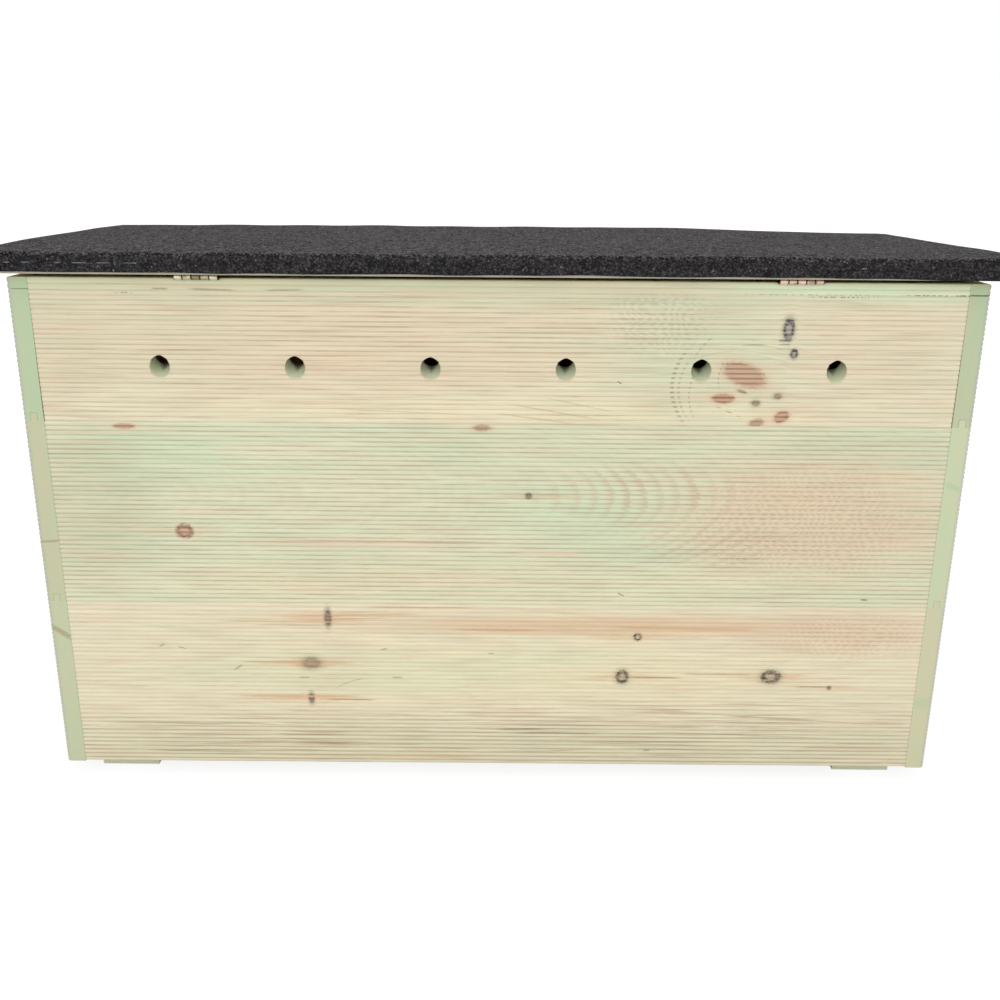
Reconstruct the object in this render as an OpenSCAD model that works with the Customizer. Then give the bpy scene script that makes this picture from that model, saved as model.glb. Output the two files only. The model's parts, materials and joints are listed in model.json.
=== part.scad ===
// Hedgehog house: a box of reeded tongue and groove boards with slanted vents,
// an inner partition, and a felted lid on two brass hinges.
// Millimetres, +Z up. The doorway faces -Y, the vents and hinges are at +Y.
// The origin is on the ground under the middle of the whole house.
// Left and right are as seen from the front, so left is -X.

/* [House] */
// Width over the side walls
house_w = 710; // [620:1:860]
// Depth over the front and back walls
house_d = 300; // [270:1:380]

/* [Wall boards] */
// Thickness of a wall board over its reeds
board_t = 14.5; // [12:0.5:20]
// Height of the lowest course of boards
bottom_course_h = 143.5; // [135:0.5:160]
// Height of the middle course of boards
middle_course_h = 146.5; // [120:0.5:160]
// Height of the top course, a board ripped to fit
top_course_h = 97.5; // [90:0.5:145]
// Height of the thin strip that levels the top of the walls
top_strip_h = 8.8; // [6:0.1:14]
// Distance from one reed to the next
reed_pitch = 3.65; // [3:0.05:6]
// Depth of the grooves between the reeds
reed_depth = 0.7; // [0.4:0.05:1.5]
// Half the width of a groove at the face
reed_groove_w = 0.8; // [0.3:0.05:1.2]
// How far a reed falls from its crown to its shoulders
reed_crown = 0.16; // [0.05:0.01:0.3]
// Radius of the worn outer edge along the foot of the walls
foot_edge_r = 2.5; // [0.5:0.5:4]
// Thickness of the tongue on a board's top edge
tongue_t = 5; // [3:0.1:6]
// Height of the tongue
tongue_h = 6; // [3:0.1:8]
// Play between a tongue and each side of its groove
tongue_play = 0.2; // [0.1:0.05:0.5]
// Gap at the foot of the back wall's top board, which is sawn a little out of square
sawn_gap = 0.7; // [0.1:0.1:2]

/* [Vents] */
// Diameter of a vent hole
vent_d = 15; // [10:0.5:18]
// Number of vents in the back wall
vent_count = 6; // [3:1:6]
// Distance between neighbouring vents
vent_pitch = 100; // [60:1:105]
// Distance from the wall's top down to the vents' outer mouths
vent_drop = 65; // [50:1:75]
// Upward slant of the vents, so that rain runs out
vent_slant = 30; // [0:1:35]

/* [Doorways] */
// Width of the front doorway and of the one in the partition
door_w = 130; // [100:1:140]
// Height of both doorways above the floor
door_h = 124; // [100:1:150]
// Radius of the doorways' upper corners
door_corner_r = 8; // [2:1:20]

/* [Inside] */
// Clear width of the entrance lobby
lobby_w = 209.5; // [190:0.5:240]
// Thickness of the partition
partition_t = 12; // [6:0.5:18]
// Distance from the wall's top down to the partition
partition_drop = 12; // [8:1:60]
// Side of the two cleats that hold the partition
cleat_s = 20; // [16:1:25]
// Side of the corner posts
post_s = 25; // [20:1:32]
// Distance from the wall's top down to the posts and cleats
post_drop = 14; // [10:1:40]

/* [Floor and feet] */
// Thickness of the floor panel
floor_t = 9; // [6:0.5:15]
// Width of a foot batten
foot_w = 47; // [30:1:60]
// Height of a foot batten
foot_h = 22; // [18:0.5:30]
// Height of the walls above the ground
wall_lift = 11.5; // [6:0.5:15]
// Gap between a foot batten and the side wall beside it
foot_inset = 8.5; // [2:0.5:30]
// Gap round the floor panel and at the ends of the foot battens
floor_play = 0.5; // [0.2:0.1:2]

/* [Lid] */
// Thickness of the lid board
lid_t = 12; // [9:0.5:18]
// Thickness of the roofing felt
felt_t = 3; // [2:0.1:4]
// Radius of the felt's bend over the lid's edges
felt_bend_r = 3; // [1:0.5:5]
// Bare edge of the lid board left below the felt
felt_hem_gap = 1.5; // [0.5:0.1:4]
// Overhang of the lid past the side walls, felt included
lid_side_overhang = 27; // [10:1:40]
// Overhang of the lid past the front wall, felt included
lid_front_overhang = 30; // [10:1:40]
// Overhang of the lid past the back wall, felt included
lid_back_overhang = 9; // [7.5:0.1:9.5]
// Gap at which the shut lid sits over the front wall
lid_rest_gap = 0.3; // [0.1:0.05:1]

/* [Hinges] */
// Length of a hinge along its pin
hinge_len = 32; // [25:1:50]
// Distance from the side wall's outer face to the hinge's outer end
hinge_edge = 121.5; // [60:0.5:180]
// Width of a hinge leaf from the pin's centre
leaf_w = 12; // [10:0.5:13]
// Thickness of a hinge leaf
leaf_t = 0.8; // [0.6:0.05:1]
// Number of knuckles on a hinge
knuckle_count = 5; // [3:2:7]
// Outer radius of the knuckles
knuckle_r = 1.75; // [1.6:0.05:2]
// Radius of the hinge pin
pin_r = 0.85; // [0.6:0.05:0.9]
// Running clearance round the pin
pin_clearance = 0.05; // [0.02:0.01:0.1]
// Gap between neighbouring knuckles
knuckle_gap = 0.2; // [0.1:0.05:0.4]
// How far a leaf's outer face stands past the knuckles
leaf_rise = 0.2; // [0.15:0.05:0.4]
// Gap between the knuckles and the wood beside them
knuckle_clearance = 0.3; // [0.2:0.05:0.5]
// Depth at which the wall leaf is let into the top strip
leaf_let_in = 1; // [0.6:0.1:1.2]
// Gap round the wall leaf in its recess
leaf_play = 0.2; // [0.1:0.05:0.5]

/* [Fixings] */
// Radius of a hinge screw's head
hinge_screw_head_r = 2.2; // [1.8:0.1:2.4]
// Radius of a hinge screw's shank
hinge_screw_r = 1.1; // [0.8:0.1:1.3]
// Length of a screw that holds a wall leaf
wall_screw_len = 16; // [12:1:20]
// Length of a screw that holds a lid leaf
lid_screw_len = 9; // [6:0.5:9]
// Distance from a hinge's middle to each screw
hinge_screw_spread = 9; // [6:0.5:9]
// Radius of a framing screw's head
frame_screw_head_r = 3.8; // [3:0.1:4.5]
// Radius of a framing screw's shank
frame_screw_r = 1.8; // [1.2:0.1:2]
// How far a framing screw reaches into the piece that it holds
frame_screw_bite = 9; // [6:0.5:10]
// Radius of a nail in the top strips
nail_r = 0.9; // [0.7:0.1:1.2]
// Radius of a nail's head
nail_head_r = 2; // [1.5:0.1:2.5]
// Length of a nail in the top strips
nail_len = 30; // [20:1:40]
// Length of a staple's crown
staple_w = 10; // [8:0.5:14]
// Width of the staple wire
staple_wire_w = 0.8; // [0.6:0.1:1.5]
// Thickness of the staple wire, which stands proud of the felt
staple_wire_t = 0.5; // [0.4:0.05:0.8]
// Length of a staple's legs
staple_leg = 9; // [6:0.5:12]
// Distance between the staples near the lid's corners
staple_pitch = 18; // [16:0.5:24]
// Number of staples next to each corner, on each edge
staple_run = 7; // [3:1:7]
// Distance from the lid's corner to the first staple
staple_start = 12; // [12:0.5:20]

/* [Hidden] */
$fn = 48;

// Overlap that carries a cut clear through a face
cut = 1;

// Heights
wall_z = wall_lift;
middle_z = wall_z + bottom_course_h;
top_z = middle_z + middle_course_h;
strip_z = top_z + top_course_h;
wall_top_z = strip_z + top_strip_h;
floor_top_z = foot_h + floor_t;

// Inner faces of the walls, measured from the middle of the house
inner_x = house_w / 2 - board_t;
inner_y = house_d / 2 - board_t;

// Partition and doorways
partition_x = inner_x - lobby_w - partition_t;
front_door_x = inner_x - lobby_w / 2;
door_to_cleat = 1.5;
partition_door_y = inner_y - cleat_s - door_to_cleat - door_w / 2;

// Hinge line
leaf_face = knuckle_r + leaf_rise;
axis_out = knuckle_r + knuckle_clearance;
axis_y = house_d / 2 + axis_out;
axis_z = wall_top_z - leaf_let_in + leaf_face;
hinge_x = house_w / 2 - hinge_edge - hinge_len / 2;
bore_r = pin_r + pin_clearance;
leaf_screw_y = (axis_out + leaf_w) / 2;

// Lid, measured from the hinge line before it is tilted down at the front
lid_w = house_w + 2 * lid_side_overhang;
lid_back = lid_back_overhang - axis_out;
lid_front = axis_y + house_d / 2 + lid_front_overhang;
lid_h = lid_t + felt_t;
lid_tilt = asin((axis_z + leaf_face - wall_top_z - lid_rest_gap) / (axis_y + house_d / 2));
staple_z = leaf_face + felt_hem_gap + (lid_h - felt_hem_gap) / 2;

// The staples are the outermost points at the front and back of the lid
reach_back = (lid_back + staple_wire_t) * cos(lid_tilt) - (staple_z - staple_wire_w / 2) * sin(lid_tilt);
reach_front = (lid_front + staple_wire_t) * cos(lid_tilt) + (staple_z + staple_wire_w / 2) * sin(lid_tilt);
centre_y = (reach_front - reach_back) / 2 - axis_y;

wood_colour = [0.86, 0.83, 0.69];
green_colour = [0.74, 0.79, 0.63];
ply_colour = [0.78, 0.68, 0.50];
batten_colour = [0.42, 0.45, 0.35];
felt_colour = [0.22, 0.21, 0.21];
brass_colour = [0.80, 0.66, 0.48];
steel_colour = [0.66, 0.66, 0.68];

// Puts pieces drawn about the middle of the walls into the frame of the whole house
module in_house() {
    translate([0, centre_y, 0]) children();
}

// Puts pieces drawn from the hinge line, with the lid level, where the shut lid lies
module on_lid() {
    in_house() translate([0, axis_y, axis_z]) rotate([lid_tilt, 0, 0]) children();
}

// Outer edge of a reeded board, from its bottom to its top: a V groove at each
// end of a reed and a low crown between them
function reed_edge(h, count) = let (p = h / count) [
    for (i = [0 : count - 1]) each [
        [board_t - reed_depth, i * p],
        [board_t - reed_crown, i * p + reed_groove_w],
        [board_t, (i + 0.5) * p],
        [board_t - reed_crown, (i + 1) * p - reed_groove_w]
    ],
    [board_t - reed_depth, h]
];

function groove_edge() = let (
    low = board_t / 2 - tongue_t / 2 - tongue_play,
    high = board_t / 2 + tongue_t / 2 + tongue_play,
    deep = tongue_h + tongue_play
) [[low, 0], [low, deep], [high, deep], [high, 0]];

function tongue_edge(h) = let (
    low = board_t / 2 - tongue_t / 2,
    high = board_t / 2 + tongue_t / 2
) [[high, h], [high, h + tongue_h], [low, h + tongue_h], [low, h]];

// Section of a board: x is from the inner face outwards, y is up
module board_section(h, tongue, groove) {
    polygon(concat(
        [[0, 0]],
        groove ? groove_edge() : [],
        reed_edge(h, round(h / reed_pitch)),
        tongue ? tongue_edge(h) : [],
        [[0, h]]
    ));
}

// What the rounded outer edge at the foot of a wall takes off a board's section
module worn_corner() {
    translate([board_t - foot_edge_r, 0]) difference() {
        translate([0, -cut]) square([foot_edge_r + cut, foot_edge_r + cut]);
        translate([0, foot_edge_r]) circle(foot_edge_r);
    }
}

// A board whose reeds face +Y, centred on x = 0, with its inner face on y = 0
module board(len, h, tongue = false, groove = false) {
    translate([-len / 2, 0, 0]) rotate([90, 0, 90])
        linear_extrude(len) board_section(h, tongue, groove);
}

// Stands a board on one of the walls, at a height
module on_back(z) {
    in_house() translate([0, inner_y, z]) children();
}
module on_front(z) {
    in_house() rotate([0, 0, 180]) translate([0, inner_y, z]) children();
}
module on_right(z) {
    in_house() rotate([0, 0, -90]) translate([0, inner_x, z]) children();
}
module on_left(z) {
    in_house() rotate([0, 0, 90]) translate([0, inner_x, z]) children();
}

// The lowest board has lost its groove, because its foot is sawn off flat
module bottom_board(len) {
    translate([-len / 2, 0, 0]) rotate([90, 0, 90]) linear_extrude(len) difference() {
        board_section(bottom_course_h, tongue = true, groove = false);
        worn_corner();
    }
}
module middle_board(len) {
    board(len, middle_course_h, tongue = true, groove = true);
}
module top_board(len) {
    board(len, top_course_h, groove = true);
}
module top_strip(len) {
    board(len, top_strip_h);
}

// Back wall
module back_board_bottom() {
    color(wood_colour) on_back(wall_z) bottom_board(2 * inner_x);
}
module back_board_middle() {
    color(wood_colour) on_back(middle_z) middle_board(2 * inner_x);
}
module back_board_top() {
    color(wood_colour) difference() {
        on_back(top_z) top_board(2 * inner_x);
        vents();
        for (side = [-1, 1]) sawn_wedge(side);
    }
}
module back_top_strip() {
    color(green_colour) difference() {
        on_back(strip_z) top_strip(2 * inner_x);
        for (side = [-1, 1]) leaf_recess(side);
    }
}

// The vents rise inwards from their outer mouths
module vents() {
    reach = 4 * board_t;
    in_house() for (i = [0 : vent_count - 1])
        translate([(i - (vent_count - 1) / 2) * vent_pitch, house_d / 2, wall_top_z - vent_drop])
            rotate([90 - vent_slant, 0, 0]) cylinder(d = vent_d, h = reach, center = true);
}

// Sliver between the top board's end and the side wall, widest at the foot
module sawn_wedge(side) {
    in_house() translate([side * inner_x, inner_y - cut, top_z]) mirror([side > 0 ? 0 : 1, 0, 0])
        rotate([90, 0, 0]) mirror([0, 0, 1]) linear_extrude(board_t + 2 * cut)
            polygon([[-sawn_gap, -cut], [cut, -cut], [cut, top_course_h], [0, top_course_h], [-sawn_gap, 0]]);
}

// Shallow seat for a wall leaf, open at the wall's outer face
module leaf_recess(side) {
    long = hinge_len + 2 * leaf_play;
    deep = leaf_w - axis_out + leaf_play;
    in_house() translate([side * hinge_x - long / 2, house_d / 2 - deep, wall_top_z - leaf_let_in])
        cube([long, deep + cut, leaf_let_in + cut]);
}

// Front wall
module front_board_bottom() {
    color(wood_colour) difference() {
        on_front(wall_z) bottom_board(2 * inner_x);
        front_doorway();
    }
}
module front_board_middle() {
    color(wood_colour) difference() {
        on_front(middle_z) middle_board(2 * inner_x);
        front_doorway();
    }
}
module front_board_top() {
    color(wood_colour) on_front(top_z) top_board(2 * inner_x);
}
module front_top_strip() {
    color(green_colour) on_front(strip_z) top_strip(2 * inner_x);
}

// Outline of a doorway standing on y = 0, with rounded upper corners
module doorway_outline() {
    translate([-door_w / 2, 0]) square([door_w, door_h - door_corner_r]);
    translate([-door_w / 2 + door_corner_r, 0]) square([door_w - 2 * door_corner_r, door_h]);
    for (side = [-1, 1])
        translate([side * (door_w / 2 - door_corner_r), door_h - door_corner_r]) circle(door_corner_r);
}

module front_doorway() {
    in_house() translate([front_door_x, -inner_y + cut, floor_top_z]) rotate([90, 0, 0])
        linear_extrude(board_t + 2 * cut) doorway_outline();
}

// Side walls, whose ends show as end grain at the front and back
module right_board_bottom() {
    color(wood_colour) on_right(wall_z) bottom_board(house_d);
}
module right_board_middle() {
    color(wood_colour) on_right(middle_z) middle_board(house_d);
}
module right_board_top() {
    color(wood_colour) on_right(top_z) top_board(house_d);
}
module right_top_strip() {
    color(green_colour) on_right(strip_z) top_strip(house_d);
}
module left_board_bottom() {
    color(wood_colour) on_left(wall_z) bottom_board(house_d);
}
module left_board_middle() {
    color(wood_colour) on_left(middle_z) middle_board(house_d);
}
module left_board_top() {
    color(wood_colour) on_left(top_z) top_board(house_d);
}
module left_top_strip() {
    color(green_colour) on_left(strip_z) top_strip(house_d);
}

// Corner posts stand on the floor; side_x and side_y pick the corner
module post(side_x, side_y) {
    in_house() translate([side_x * (inner_x - post_s / 2), side_y * (inner_y - post_s / 2), floor_top_z])
        linear_extrude(wall_top_z - post_drop - floor_top_z) square(post_s, center = true);
}
module front_left_post() {
    color(ply_colour) post(-1, -1);
}
module front_right_post() {
    color(ply_colour) post(1, -1);
}
module back_left_post() {
    color(ply_colour) post(-1, 1);
}
module back_right_post() {
    color(ply_colour) post(1, 1);
}

// Floor and feet
module floor_panel() {
    w = 2 * (inner_x - floor_play);
    d = 2 * (inner_y - floor_play);
    color(ply_colour) in_house() translate([-w / 2, -d / 2, foot_h]) cube([w, d, floor_t]);
}
function foot_x(side) = side * (inner_x - foot_inset - foot_w / 2);
module foot_batten(side) {
    len = 2 * (inner_y - floor_play);
    in_house() translate([foot_x(side) - foot_w / 2, -len / 2, 0]) cube([foot_w, len, foot_h]);
}
module left_foot_batten() {
    color(batten_colour) foot_batten(-1);
}
module right_foot_batten() {
    color(batten_colour) foot_batten(1);
}

// Partition between the nest chamber and the lobby, with a doorway at the back
module partition() {
    len = 2 * inner_y;
    color(ply_colour) in_house() difference() {
        translate([partition_x, -inner_y, floor_top_z])
            cube([partition_t, len, wall_top_z - partition_drop - floor_top_z]);
        translate([partition_x - cut, partition_door_y, floor_top_z]) rotate([90, 0, 90])
            linear_extrude(partition_t + 2 * cut) union() {
                doorway_outline();
                translate([-door_w / 2, -cut]) square([door_w, 2 * cut]);
            }
    }
}
module partition_cleat(side) {
    in_house() translate([partition_x - cleat_s, side > 0 ? inner_y - cleat_s : -inner_y, floor_top_z])
        cube([cleat_s, cleat_s, wall_top_z - post_drop - floor_top_z]);
}
module front_partition_cleat() {
    color(ply_colour) partition_cleat(-1);
}
module back_partition_cleat() {
    color(ply_colour) partition_cleat(1);
}

// Lid board, drawn level from the hinge line
module lid_board() {
    side = lid_side_overhang - felt_t;
    color(ply_colour) on_lid()
        translate([-house_w / 2 - side, -lid_front + felt_t, leaf_face])
            cube([house_w + 2 * side, lid_front + lid_back - 2 * felt_t, lid_t]);
}

// A flat block with its two upper edges rounded, seen from its end
module felt_section(w) {
    low = leaf_face + felt_hem_gap;
    high = leaf_face + lid_h;
    translate([0, low]) square([w, high - felt_bend_r - low]);
    translate([felt_bend_r, low]) square([w - 2 * felt_bend_r, high - low]);
    for (x = [felt_bend_r, w - felt_bend_r]) translate([x, high - felt_bend_r]) circle(felt_bend_r);
}

// Roofing felt: over the lid board and down its four edges
module roof_felt() {
    deep = lid_front + lid_back;
    color(felt_colour) on_lid() difference() {
        intersection() {
            translate([-lid_w / 2, lid_back + cut, 0]) rotate([90, 0, 0])
                linear_extrude(deep + 2 * cut) felt_section(lid_w);
            translate([-lid_w / 2 - cut, -lid_front, 0]) rotate([90, 0, 90])
                linear_extrude(lid_w + 2 * cut) felt_section(deep);
        }
        translate([-lid_w / 2 + felt_t, -lid_front + felt_t, 0])
            cube([lid_w - 2 * felt_t, deep - 2 * felt_t, leaf_face + lid_t]);
    }
}

// One staple in an edge that faces +Y: the crown lies on the felt, the legs go in
module staple() {
    translate([-staple_w / 2, 0, -staple_wire_w / 2]) cube([staple_w, staple_wire_t, staple_wire_w]);
    for (side = [-1, 1])
        translate([side * (staple_w - staple_wire_t) / 2 - staple_wire_t / 2, -staple_leg, -staple_wire_w / 2])
            cube([staple_wire_t, staple_leg + staple_wire_t, staple_wire_w]);
}

// Staples run in from both corners of an edge of this length
module staple_row(len) {
    for (side = [-1, 1], i = [0 : staple_run - 1])
        translate([side * (len / 2 - staple_start - i * staple_pitch), 0, 0]) staple();
}
module felt_staples() {
    deep = lid_front + lid_back;
    mid_y = (lid_back - lid_front) / 2;
    color(steel_colour) on_lid() translate([0, mid_y, staple_z]) {
        for (turn = [0, 180]) rotate([0, 0, turn]) translate([0, deep / 2, 0]) staple_row(lid_w);
        for (turn = [90, 270]) rotate([0, 0, turn]) translate([0, lid_w / 2, 0]) staple_row(deep);
    }
}

// Hinges, drawn round the pin: x along the pin, -y into the house
knuckle_len = (hinge_len - (knuckle_count - 1) * knuckle_gap) / knuckle_count;
function knuckle_start(i) = -hinge_len / 2 + i * (knuckle_len + knuckle_gap);

// One half of a hinge with its leaf below the pin; first is 0 or 1, its first knuckle
module hinge_leaf(first) {
    mine = [for (i = [first : 2 : knuckle_count - 1]) i];
    others = [for (i = [1 - first : 2 : knuckle_count - 1]) i];
    difference() {
        union() {
            translate([-hinge_len / 2, -leaf_w, -leaf_face]) cube([hinge_len, leaf_w, leaf_t]);
            for (i = mine) translate([knuckle_start(i), 0, 0]) rotate([0, 90, 0])
                cylinder(r = knuckle_r, h = knuckle_len);
        }
        for (i = others) translate([knuckle_start(i) - knuckle_gap, -axis_out, -leaf_face - cut])
            cube([knuckle_len + 2 * knuckle_gap, axis_out + cut, 2 * leaf_face]);
        translate([-hinge_len / 2 - cut, 0, 0]) rotate([0, 90, 0]) cylinder(r = bore_r, h = hinge_len + 2 * cut);
        for (side = [-1, 1]) translate([side * hinge_screw_spread, -leaf_screw_y, -leaf_face]) leaf_screw_hole();
    }
}

// Countersunk hole through a leaf whose outer face is at z = 0
module leaf_screw_hole() {
    play = 0.05;
    translate([0, 0, -cut]) cylinder(r = hinge_screw_r + play, h = leaf_t + 2 * cut);
    translate([0, 0, leaf_t]) mirror([0, 0, 1])
        screw_cone(hinge_screw_head_r + play, hinge_screw_r + play);
}

// The cone under a countersunk head, 45 degrees a side, from z = 0 down in z
module screw_cone(head_r, shank_r) {
    cylinder(r1 = head_r, r2 = shank_r, h = head_r - shank_r);
}

// Countersunk wood screw whose head is flush with z = 0 and whose shank goes to +z
module wood_screw(head_r, shank_r, len) {
    slot = 0.28 * head_r;
    difference() {
        union() {
            screw_cone(head_r, shank_r);
            cylinder(r = shank_r, h = len - 2 * shank_r);
            translate([0, 0, len - 2 * shank_r]) cylinder(r1 = shank_r, r2 = 0.1 * shank_r, h = 2 * shank_r);
        }
        for (turn = [0, 90]) rotate([0, 0, turn])
            translate([-0.55 * head_r, -slot / 2, -cut]) cube([1.1 * head_r, slot, slot + cut]);
    }
}

module hinge_pin() {
    translate([-hinge_len / 2, 0, 0]) rotate([0, 90, 0]) cylinder(r = pin_r, h = hinge_len);
}
module at_wall_hinge(side) {
    in_house() translate([side * hinge_x, axis_y, axis_z]) children();
}
module at_lid_hinge(side) {
    on_lid() translate([side * hinge_x, 0, 0]) mirror([0, 0, 1]) children();
}
module left_hinge_wall_leaf() {
    color(brass_colour) at_wall_hinge(-1) hinge_leaf(0);
}
module left_hinge_lid_leaf() {
    color(brass_colour) at_lid_hinge(-1) hinge_leaf(1);
}
module left_hinge_pin() {
    color(brass_colour) at_wall_hinge(-1) hinge_pin();
}
module right_hinge_wall_leaf() {
    color(brass_colour) at_wall_hinge(1) hinge_leaf(0);
}
module right_hinge_lid_leaf() {
    color(brass_colour) at_lid_hinge(1) hinge_leaf(1);
}
module right_hinge_pin() {
    color(brass_colour) at_wall_hinge(1) hinge_pin();
}

// Screws in a leaf, from its countersinks out through its outer face
module leaf_screws(len) {
    for (side = [-1, 1])
        translate([side * hinge_screw_spread, -leaf_screw_y, -leaf_face + leaf_t])
            mirror([0, 0, 1]) wood_screw(hinge_screw_head_r, hinge_screw_r, len);
}
module wall_leaf_screws() {
    color(brass_colour) for (side = [-1, 1]) at_wall_hinge(side) leaf_screws(wall_screw_len);
}
module lid_leaf_screws() {
    color(brass_colour) for (side = [-1, 1]) at_lid_hinge(side) leaf_screws(lid_screw_len);
}

// Screws from inside the house, through the posts and cleats into each board.
// A post's two rows are staggered in height, so that they miss each other.
course_mid_z = [
    (floor_top_z + middle_z) / 2 + post_s,
    middle_z + middle_course_h / 2,
    top_z + top_course_h / 2 - post_drop
];
module frame_screw(through) {
    wood_screw(frame_screw_head_r, frame_screw_r, through + frame_screw_bite);
}
module frame_screws() {
    stagger = 2.5 * frame_screw_head_r;
    color(steel_colour) in_house() {
        for (side_x = [-1, 1], side_y = [-1, 1], z = course_mid_z) {
            translate([side_x * (inner_x - post_s / 2), side_y * (inner_y - post_s), z - stagger])
                rotate([-90 * side_y, 0, 0]) frame_screw(post_s);
            translate([side_x * (inner_x - post_s), side_y * (inner_y - post_s / 2), z + stagger])
                rotate([0, 90 * side_x, 0]) frame_screw(post_s);
        }
        for (side_y = [-1, 1], z = course_mid_z)
            translate([partition_x - cleat_s / 2, side_y * (inner_y - cleat_s), z - stagger])
                rotate([-90 * side_y, 0, 0]) frame_screw(cleat_s);
    }
}

// Screws down through the floor into the feet, and up through it into the posts
module floor_screws() {
    spread = inner_y - post_s - foot_w / 2;
    color(steel_colour) in_house() {
        for (side = [-1, 1], y = [-spread, 0, spread])
            translate([foot_x(side), y, floor_top_z]) mirror([0, 0, 1]) frame_screw(floor_t);
        for (side_x = [-1, 1], side_y = [-1, 1])
            translate([side_x * (inner_x - foot_inset / 2 - floor_play), side_y * (inner_y - post_s / 2), foot_h])
                frame_screw(floor_t);
    }
}

// Screws through the partition into its cleats, from the lobby
module partition_screws() {
    stagger = 2.5 * frame_screw_head_r;
    color(steel_colour) in_house() for (side_y = [-1, 1], z = course_mid_z)
        translate([partition_x + partition_t, side_y * (inner_y - cleat_s / 2), z + stagger])
            rotate([0, -90, 0]) frame_screw(partition_t);
}

// Nail with its head flush with z = 0 and its shank going down
module nail() {
    head_t = 1;
    translate([0, 0, -head_t]) cylinder(r = nail_head_r, h = head_t);
    translate([0, 0, -nail_len + 2 * nail_r]) cylinder(r = nail_r, h = nail_len - 2 * nail_r);
    translate([0, 0, -nail_len]) cylinder(r1 = 0.1 * nail_r, r2 = nail_r, h = 2 * nail_r);
}

// Nails down through the top strips into the boards below
module strip_nails() {
    mid = board_t / 2;
    end = 40;
    color(steel_colour) in_house() {
        for (side_y = [-1, 1], x = [-inner_x + end, -inner_x / 3, inner_x / 3, inner_x - end])
            translate([x, side_y * (inner_y + mid), wall_top_z]) nail();
        for (side_x = [-1, 1], y = [-inner_y + end / 2, 0, inner_y - end / 2])
            translate([side_x * (inner_x + mid), y, wall_top_z]) nail();
    }
}

back_board_bottom();
back_board_middle();
back_board_top();
back_top_strip();
front_board_bottom();
front_board_middle();
front_board_top();
front_top_strip();
left_board_bottom();
left_board_middle();
left_board_top();
left_top_strip();
right_board_bottom();
right_board_middle();
right_board_top();
right_top_strip();
front_left_post();
front_right_post();
back_left_post();
back_right_post();
floor_panel();
left_foot_batten();
right_foot_batten();
partition();
front_partition_cleat();
back_partition_cleat();
left_hinge_wall_leaf();
left_hinge_lid_leaf();
left_hinge_pin();
right_hinge_wall_leaf();
right_hinge_lid_leaf();
right_hinge_pin();
lid_board();
roof_felt();
felt_staples();
wall_leaf_screws();
lid_leaf_screws();
frame_screws();
floor_screws();
partition_screws();
strip_nails();
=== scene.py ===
"""Looks of a timber hedgehog house: reeded pine boards, a felted lid and brassed hinges."""

import json
import math
from collections import namedtuple
from types import SimpleNamespace

import bpy
import numpy as np
from bpy.props import FloatProperty, FloatVectorProperty, PointerProperty
from mathutils import Matrix, Vector

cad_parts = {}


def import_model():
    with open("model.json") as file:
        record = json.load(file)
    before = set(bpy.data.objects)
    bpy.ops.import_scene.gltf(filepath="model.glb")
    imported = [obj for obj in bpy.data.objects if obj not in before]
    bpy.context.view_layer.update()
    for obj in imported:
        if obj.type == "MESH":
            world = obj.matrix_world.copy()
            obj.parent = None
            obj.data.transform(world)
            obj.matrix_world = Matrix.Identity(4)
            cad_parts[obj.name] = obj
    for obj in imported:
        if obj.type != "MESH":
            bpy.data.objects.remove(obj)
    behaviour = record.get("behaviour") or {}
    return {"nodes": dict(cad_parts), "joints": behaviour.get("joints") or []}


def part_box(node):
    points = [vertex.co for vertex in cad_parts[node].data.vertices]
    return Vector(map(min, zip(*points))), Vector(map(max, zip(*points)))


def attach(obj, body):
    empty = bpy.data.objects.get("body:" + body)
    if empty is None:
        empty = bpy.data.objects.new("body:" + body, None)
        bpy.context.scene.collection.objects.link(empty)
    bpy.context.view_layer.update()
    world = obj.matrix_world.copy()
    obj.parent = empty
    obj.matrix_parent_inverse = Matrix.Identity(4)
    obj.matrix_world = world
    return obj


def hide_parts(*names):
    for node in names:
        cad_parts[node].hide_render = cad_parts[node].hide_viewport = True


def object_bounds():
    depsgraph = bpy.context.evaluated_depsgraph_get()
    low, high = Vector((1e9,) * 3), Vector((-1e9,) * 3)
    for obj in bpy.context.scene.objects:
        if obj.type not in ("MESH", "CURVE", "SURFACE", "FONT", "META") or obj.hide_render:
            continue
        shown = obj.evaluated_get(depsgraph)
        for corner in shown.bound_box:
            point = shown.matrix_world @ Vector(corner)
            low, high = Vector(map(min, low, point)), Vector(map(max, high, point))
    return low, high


bl_info = {
    "name": "Hedgehog house",
    "version": (1, 0, 0),
    "blender": (4, 5, 0),
    "location": "View3D > Sidebar > Hedgehog house",
    "description": "Finishes a reeded timber hedgehog house with a felted lid",
    "category": "Object",
}

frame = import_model()
NODES = frame["nodes"]
CAD_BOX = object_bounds()
HINGE = frame["joints"][0]
MM = 0.001
IN_MM = (1 / MM, 1 / MM, 1 / MM)
ORIGIN = (0.0, 0.0, 0.0)
WHITE = (1.0, 1.0, 1.0)

QUARTER = math.pi / 2
KNUCKLES = 5
VENT_SLOPE = math.tan(math.radians(30))

# Sizes in millimetres: a wall board's thickness and tongue, the depths between which its
# reeds end, and the half height of a slanted vent where it opens.
BOARD_THICK = 14.5
TONGUE = 6.0
UNDER_REEDS = (1.2, 2.0)
VENT_REACH = 8.8

# Half the lid's width in metres, and the camera's sensor in millimetres.
HALF_LID = 0.3825
SENSOR = 36.0

WALLS = ("back", "front", "left", "right")
COURSES = ("board_bottom", "board_middle", "board_top", "top_strip")


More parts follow.
